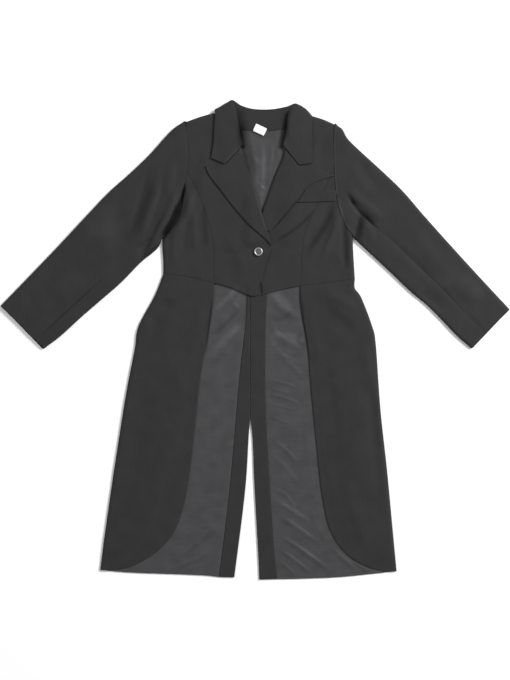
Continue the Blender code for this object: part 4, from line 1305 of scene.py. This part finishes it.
def build_button():
    inner = BUTTON_CENTRE_RADIUS + BUTTON_GAP
    round_at = BUTTON_RADIUS - BUTTON_ROUND
    rim = [(inner, 0.2)]
    for angle in np.radians(np.arange(-90, 136, 19)):
        rim.append((round_at + BUTTON_ROUND * math.cos(angle), BUTTON_ROUND * (1 + math.sin(angle))))
    rim += [(inner + out, up) for out, up in BUTTON_LIP]
    turned("button_rim", rim, BUTTON_SIDES, "button_metal")
    centre = [(0, BUTTON_GAP), (BUTTON_CENTRE_RADIUS, BUTTON_GAP), *BUTTON_DISH, (0, BUTTON_CENTRE_HEIGHT)]
    turned("button_centre", centre, BUTTON_SIDES, "button_centre")


# ---- Stitches ----

STITCH_LIFT = 0.1
HOLE_STITCH_LIFT = 0.12
LABEL_STITCH_INSET = 1.1
WELT_STITCH_INSET = 1.4
# The buttonhole's ends, from the button's centre
BUTTONHOLE = ((-13.5, -0.5), (12.5, -1.5))


def stitch_tree():
    """Geometry nodes: short thread stitches set end to end along a path."""
    found = bpy.data.node_groups.get("Stitch run")
    if found:
        return found
    tree = bpy.data.node_groups.new("Stitch run", "GeometryNodeTree")
    for name, kind, value in (
        ("Path", "NodeSocketGeometry", None), ("Spacing", "NodeSocketFloat", 0.004),
        ("Stitch Length", "NodeSocketFloat", 0.003), ("Thread Radius", "NodeSocketFloat", 0.00025),
        ("Tilt", "NodeSocketFloat", 0.0), ("Seed", "NodeSocketInt", 7), ("Thread", "NodeSocketMaterial", None)
    ):
        socket = tree.interface.new_socket(name, in_out="INPUT", socket_type=kind)
        if value is not None:
            socket.default_value = value
    tree.interface.new_socket("Stitches", in_out="OUTPUT", socket_type="NodeSocketGeometry")
    source, sink = tree.nodes.new("NodeGroupInput"), tree.nodes.new("NodeGroupOutput")
    given = source.outputs
    run = node(tree, "GeometryNodeMeshToCurve", {"Mesh": given["Path"]}).outputs["Curve"]
    places = node(
        tree, "GeometryNodeCurveToPoints", {"Curve": run, "Length": given["Spacing"]}, mode="LENGTH"
    )
    half = maths(tree, "MULTIPLY", given["Stitch Length"], 0.5)
    minus = maths(tree, "MULTIPLY", half, -1.0)
    start = node(tree, "ShaderNodeCombineXYZ", {"Z": minus}).outputs[0]
    end = node(tree, "ShaderNodeCombineXYZ", {"Z": half}).outputs[0]
    line = node(tree, "GeometryNodeCurvePrimitiveLine", {"Start": start, "End": end}).outputs["Curve"]
    arched = node(tree, "GeometryNodeResampleCurve", {"Curve": line, "Count": 7}).outputs["Curve"]
    factor = node(tree, "GeometryNodeSplineParameter").outputs["Factor"]
    hump = maths(tree, "SINE", maths(tree, "MULTIPLY", factor, math.pi))
    thick = maths(tree, "ADD", maths(tree, "MULTIPLY", hump, 0.65), 0.35)
    sized = node(tree, "GeometryNodeSetCurveRadius", {"Curve": arched, "Radius": thick}).outputs["Curve"]
    ring = node(
        tree, "GeometryNodeCurvePrimitiveCircle", {"Resolution": 8, "Radius": given["Thread Radius"]}
    ).outputs["Curve"]
    thread = node(
        tree, "GeometryNodeCurveToMesh",
        {"Curve": sized, "Profile Curve": ring, "Scale": thick, "Fill Caps": True}
    ).outputs["Mesh"]
    wobble = node(
        tree, "FunctionNodeRandomValue", {2: -0.12, 3: 0.12, "Seed": given["Seed"]}, data_type="FLOAT"
    ).outputs[1]
    lean = node(tree, "ShaderNodeCombineXYZ", {"Y": maths(tree, "ADD", given["Tilt"], wobble)}).outputs[0]
    turned_way = node(
        tree, "FunctionNodeRotateRotation",
        {"Rotation": places.outputs["Rotation"], "Rotate By": lean}, rotation_space="LOCAL"
    ).outputs[0]
    many = node(
        tree, "GeometryNodeInstanceOnPoints",
        {"Points": places.outputs["Points"], "Instance": thread, "Rotation": turned_way}
    ).outputs["Instances"]
    real = node(tree, "GeometryNodeRealizeInstances", {"Geometry": many}).outputs["Geometry"]
    shaded = node(tree, "GeometryNodeSetMaterial", {"Geometry": real, "Material": given["Thread"]})
    tree.links.new(shaded.outputs["Geometry"], sink.inputs["Stitches"])
    return tree


def stitched(name, paths, slot, spacing, length, radius=0.22, tilt=0.0, seed=7):
    """Rows of stitches along paths of (x, y, z) points, as one plain mesh."""
    points = np.vstack(paths) * MM
    edges, start = [], 0
    for path in paths:
        edges += [(start + i, start + i + 1) for i in range(len(path) - 1)]
        start += len(path)
    mesh = bpy.data.meshes.new(f"{name}_path")
    mesh.from_pydata(points.tolist(), edges, [])
    maker = bpy.data.objects.new(f"{name}_path", mesh)
    bpy.context.scene.collection.objects.link(maker)
    modifier = maker.modifiers.new("Stitch run", "NODES")
    modifier.node_group = stitch_tree()
    sockets = {s.name: s.identifier for s in modifier.node_group.interface.items_tree if s.in_out == "INPUT"}
    for key, value in (
        ("Spacing", spacing * MM), ("Stitch Length", length * MM), ("Thread Radius", radius * MM),
        ("Tilt", tilt), ("Seed", seed), ("Thread", thread_for(slot))
    ):
        modifier[sockets[key]] = value
    solved = maker.evaluated_get(bpy.context.evaluated_depsgraph_get())
    stitches = bpy.data.meshes.new_from_object(solved)
    bpy.data.objects.remove(maker)
    piece = bpy.data.objects.new(name, stitches)
    bpy.context.scene.collection.objects.link(piece)
    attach(piece, "root")
    return piece


def on_height(line, height, rise):
    """A stitch line's points, lifted a little off the cloth's height."""
    points = resampled(line, 1.5)
    return np.column_stack([points, height(points) + rise])


def build_stitches():
    corners = closed(straight(label_corners(LABEL_STITCH_INSET)))
    long_sides = [on_height(corners[i: i + 2], label_height, STITCH_LIFT) for i in (0, 2)]
    stitched("label_stitches", long_sides, "label", spacing=2.2, length=1.7, radius=0.16)
    hole = np.array(BUTTON_AT) + straight(BUTTONHOLE)
    sides = [on_height(moved_aside(hole, by), right_front_top, HOLE_STITCH_LIFT) for by in (1.0, -1.0)]
    stitched(
        "buttonhole_stitches", sides, "coat_cloth", spacing=0.6, length=1.8, radius=0.3, tilt=math.pi / 2
    )
    lift = LAY_GAP + CLOTH + STITCH_LIFT
    welt_end = on_height(moved_aside(WELT_END, WELT_STITCH_INSET), left_front_top, lift)
    stitched("welt_stitches", [welt_end], "coat_cloth", spacing=2.4, length=1.9, radius=0.2)


# ---- Stage ----

# In metres, except the camera's sensor in millimetres
FLOOR_REACH = 7.0
FLOOR_CLEAR = 0.0004
FLOOR_COLOUR = (0.95, 0.95, 0.95)
CAMERA_AT = (0.0012, -0.0012)
SENSOR = 36


def build_floor():
    low, high = -FLOOR_REACH, FLOOR_REACH
    mesh = bpy.data.meshes.new("floor")
    mesh.from_pydata([(low, low, 0), (high, low, 0), (high, high, 0), (low, high, 0)], [], [(0, 1, 2, 3)])
    floor = bpy.data.objects.new("floor", mesh)
    bpy.context.scene.collection.objects.link(floor)
    floor.location.z = -FLOOR_CLEAR
    material, tree, shader = new_material("floor_paint")
    grain = node(tree, "ShaderNodeTexNoise", {"Vector": object_place(tree), "Scale": 3.0}).outputs[0]
    tree.links.new(shaded(tree, grain, FLOOR_COLOUR, 0.979), shader.inputs["Base Color"])
    shader.inputs["Roughness"].default_value = 0.8
    shader.inputs["Specular IOR Level"].default_value = 0.1
    mesh.materials.append(material)


def build_lamp(name, place, size, power):
    """A round soft light that looks at the coat's centre."""
    light = bpy.data.lights.new(name, "AREA")
    light.shape = "DISK"
    light.size = size
    light.energy = power
    lamp = bpy.data.objects.new(name, light)
    lamp.location = place
    lamp.rotation_euler = (-Vector(place)).to_track_quat("-Z", "Y").to_euler()
    bpy.context.scene.collection.objects.link(lamp)


def build_world(strength):
    world = bpy.data.worlds.new("studio")
    world.use_nodes = True
    background = world.node_tree.nodes["Background"]
    background.inputs["Color"].default_value = (1, 1, 1, 1)
    background.inputs["Strength"].default_value = strength
    bpy.context.scene.world = world
    bpy.context.scene.view_settings.view_transform = "Standard"


def build_camera(height, view_height):
    """A camera that looks straight down."""
    camera = bpy.data.cameras.new("camera")
    camera.sensor_width = SENSOR
    camera.lens = SENSOR * height / view_height
    eye = bpy.data.objects.new("camera", camera)
    eye.location = (*CAMERA_AT, height)
    bpy.context.scene.collection.objects.link(eye)
    bpy.context.scene.camera = eye


def build_stage():
    stage = bpy.context.scene.tailcoat
    build_floor()
    build_lamp("key", place=(3.6, 2.1, 2.9), size=1.6, power=stage.key_light)
    build_lamp("fill", place=(-2.4, 0.4, 2.6), size=2.4, power=stage.fill_light)
    build_world(stage.room_light)
    build_camera(stage.camera_height, stage.view_height)


# ---- Add-on ----


class TailcoatSettings(bpy.types.PropertyGroup):
    fold_depth: bpy.props.FloatProperty(
        name="Fold depth", description="Scales the height of every crease", default=1.5, min=0, max=2
    )
    mesh_spacing: bpy.props.FloatProperty(
        name="Mesh spacing", description="Distance between the cloth's mesh points, in millimetres",
        default=4.0, min=2
    )
    sleeve_rows: bpy.props.IntProperty(
        name="Sleeve rows", description="Rows of mesh along each sleeve", default=150, min=20
    )
    coat_cloth: bpy.props.FloatVectorProperty(
        name="Coat cloth", description="Colour of the suiting", subtype="COLOR",
        default=SLOT_COLOURS["coat_cloth"]
    )
    lining: bpy.props.FloatVectorProperty(
        name="Lining", description="Colour of the satin lining", subtype="COLOR",
        default=SLOT_COLOURS["lining"]
    )
    label: bpy.props.FloatVectorProperty(
        name="Label", description="Colour of the neck label", subtype="COLOR", default=SLOT_COLOURS["label"]
    )
    button_metal: bpy.props.FloatVectorProperty(
        name="Button rim", description="Colour of the button's rim", subtype="COLOR",
        default=SLOT_COLOURS["button_metal"]
    )
    button_centre: bpy.props.FloatVectorProperty(
        name="Button centre", description="Colour of the button's centre", subtype="COLOR",
        default=SLOT_COLOURS["button_centre"]
    )
    camera_height: bpy.props.FloatProperty(
        name="Camera height", description="Height of the camera above the coat", default=3.5, unit="LENGTH"
    )
    view_height: bpy.props.FloatProperty(
        name="View height", description="Length of floor that the picture shows", default=1.564, unit="LENGTH"
    )
    key_light: bpy.props.FloatProperty(
        name="Key light", description="Power of the main light", default=330, unit="POWER"
    )
    fill_light: bpy.props.FloatProperty(
        name="Fill light", description="Power of the light opposite", default=26, unit="POWER"
    )
    room_light: bpy.props.FloatProperty(
        name="Room light", description="Strength of the light from all round", default=0.42
    )


class TAILCOAT_OT_backs(bpy.types.Operator):
    """Add the two back pieces with their tails"""

    bl_idname = "tailcoat.backs"
    bl_label = "Backs"
    bl_options = {"REGISTER", "UNDO"}

    def execute(self, context):
        build_backs()
        return {"FINISHED"}


class TAILCOAT_OT_linings(bpy.types.Operator):
    """Add the satin linings of the neck and the tails"""

    bl_idname = "tailcoat.linings"
    bl_label = "Linings"
    bl_options = {"REGISTER", "UNDO"}

    def execute(self, context):
        build_linings()
        return {"FINISHED"}


class TAILCOAT_OT_facings(bpy.types.Operator):
    """Add the facings along the back vent"""

    bl_idname = "tailcoat.facings"
    bl_label = "Vent facings"
    bl_options = {"REGISTER", "UNDO"}

    def execute(self, context):
        build_facings()
        return {"FINISHED"}


class TAILCOAT_OT_fronts(bpy.types.Operator):
    """Add the centre fronts and side fronts"""

    bl_idname = "tailcoat.fronts"
    bl_label = "Fronts"
    bl_options = {"REGISTER", "UNDO"}

    def execute(self, context):
        build_fronts()
        return {"FINISHED"}


class TAILCOAT_OT_skirts(bpy.types.Operator):
    """Add the cut-away front skirts"""

    bl_idname = "tailcoat.skirts"
    bl_label = "Skirts"
    bl_options = {"REGISTER", "UNDO"}

    def execute(self, context):
        build_skirts()
        return {"FINISHED"}


class TAILCOAT_OT_sleeves(bpy.types.Operator):
    """Add the two-piece sleeves"""

    bl_idname = "tailcoat.sleeves"
    bl_label = "Sleeves"
    bl_options = {"REGISTER", "UNDO"}

    def execute(self, context):
        build_sleeves()
        return {"FINISHED"}


class TAILCOAT_OT_lapels(bpy.types.Operator):
    """Add the peaked lapels, rolled over the fronts' edges"""

    bl_idname = "tailcoat.lapels"
    bl_label = "Lapels"
    bl_options = {"REGISTER", "UNDO"}

    def execute(self, context):
        build_lapels()
        return {"FINISHED"}


class TAILCOAT_OT_collar(bpy.types.Operator):
    """Add the collar's stand and fall"""

    bl_idname = "tailcoat.collar"
    bl_label = "Collar"
    bl_options = {"REGISTER", "UNDO"}

    def execute(self, context):
        build_collar()
        return {"FINISHED"}


class TAILCOAT_OT_welt(bpy.types.Operator):
    """Add the welt of the breast pocket"""

    bl_idname = "tailcoat.welt"
    bl_label = "Breast welt"
    bl_options = {"REGISTER", "UNDO"}

    def execute(self, context):
        build_welt()
        return {"FINISHED"}


class TAILCOAT_OT_label(bpy.types.Operator):
    """Add the bare woven label in the neck"""

    bl_idname = "tailcoat.label"
    bl_label = "Neck label"
    bl_options = {"REGISTER", "UNDO"}

    def execute(self, context):
        build_label()
        return {"FINISHED"}


class TAILCOAT_OT_button(bpy.types.Operator):
    """Add the button's rim and centre"""

    bl_idname = "tailcoat.button"
    bl_label = "Button"
    bl_options = {"REGISTER", "UNDO"}

    def execute(self, context):
        build_button()
        return {"FINISHED"}


class TAILCOAT_OT_stitches(bpy.types.Operator):
    """Add the stitches that show"""

    bl_idname = "tailcoat.stitches"
    bl_label = "Stitches"
    bl_options = {"REGISTER", "UNDO"}

    def execute(self, context):
        build_stitches()
        return {"FINISHED"}


class TAILCOAT_OT_stage(bpy.types.Operator):
    """Add the floor, the lights and the camera"""

    bl_idname = "tailcoat.stage"
    bl_label = "Stage"
    bl_options = {"REGISTER", "UNDO"}

    def execute(self, context):
        build_stage()
        return {"FINISHED"}


OPERATORS = (
    TAILCOAT_OT_backs, TAILCOAT_OT_linings, TAILCOAT_OT_facings, TAILCOAT_OT_fronts, TAILCOAT_OT_skirts,
    TAILCOAT_OT_sleeves, TAILCOAT_OT_lapels, TAILCOAT_OT_collar, TAILCOAT_OT_welt, TAILCOAT_OT_label,
    TAILCOAT_OT_button, TAILCOAT_OT_stitches, TAILCOAT_OT_stage,
)


class TAILCOAT_PT_panel(bpy.types.Panel):
    bl_label = "Tailcoat"
    bl_idname = "TAILCOAT_PT_panel"
    bl_space_type = "VIEW_3D"
    bl_region_type = "UI"
    bl_category = "Tailcoat"

    def draw(self, context):
        for name in TailcoatSettings.__annotations__:
            self.layout.prop(context.scene.tailcoat, name)
        for operator in OPERATORS:
            self.layout.operator(operator.bl_idname)


def register():
    for kind in (TailcoatSettings, *OPERATORS, TAILCOAT_PT_panel):
        bpy.utils.register_class(kind)
    bpy.types.Scene.tailcoat = bpy.props.PointerProperty(type=TailcoatSettings)


def unregister():
    del bpy.types.Scene.tailcoat
    for kind in reversed((TailcoatSettings, *OPERATORS, TAILCOAT_PT_panel)):
        bpy.utils.unregister_class(kind)


def main():
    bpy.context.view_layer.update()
    register()
    for operator in OPERATORS:
        family, name = operator.bl_idname.split(".")
        getattr(getattr(bpy.ops, family), name)()


if __name__ == "__main__":
    main()
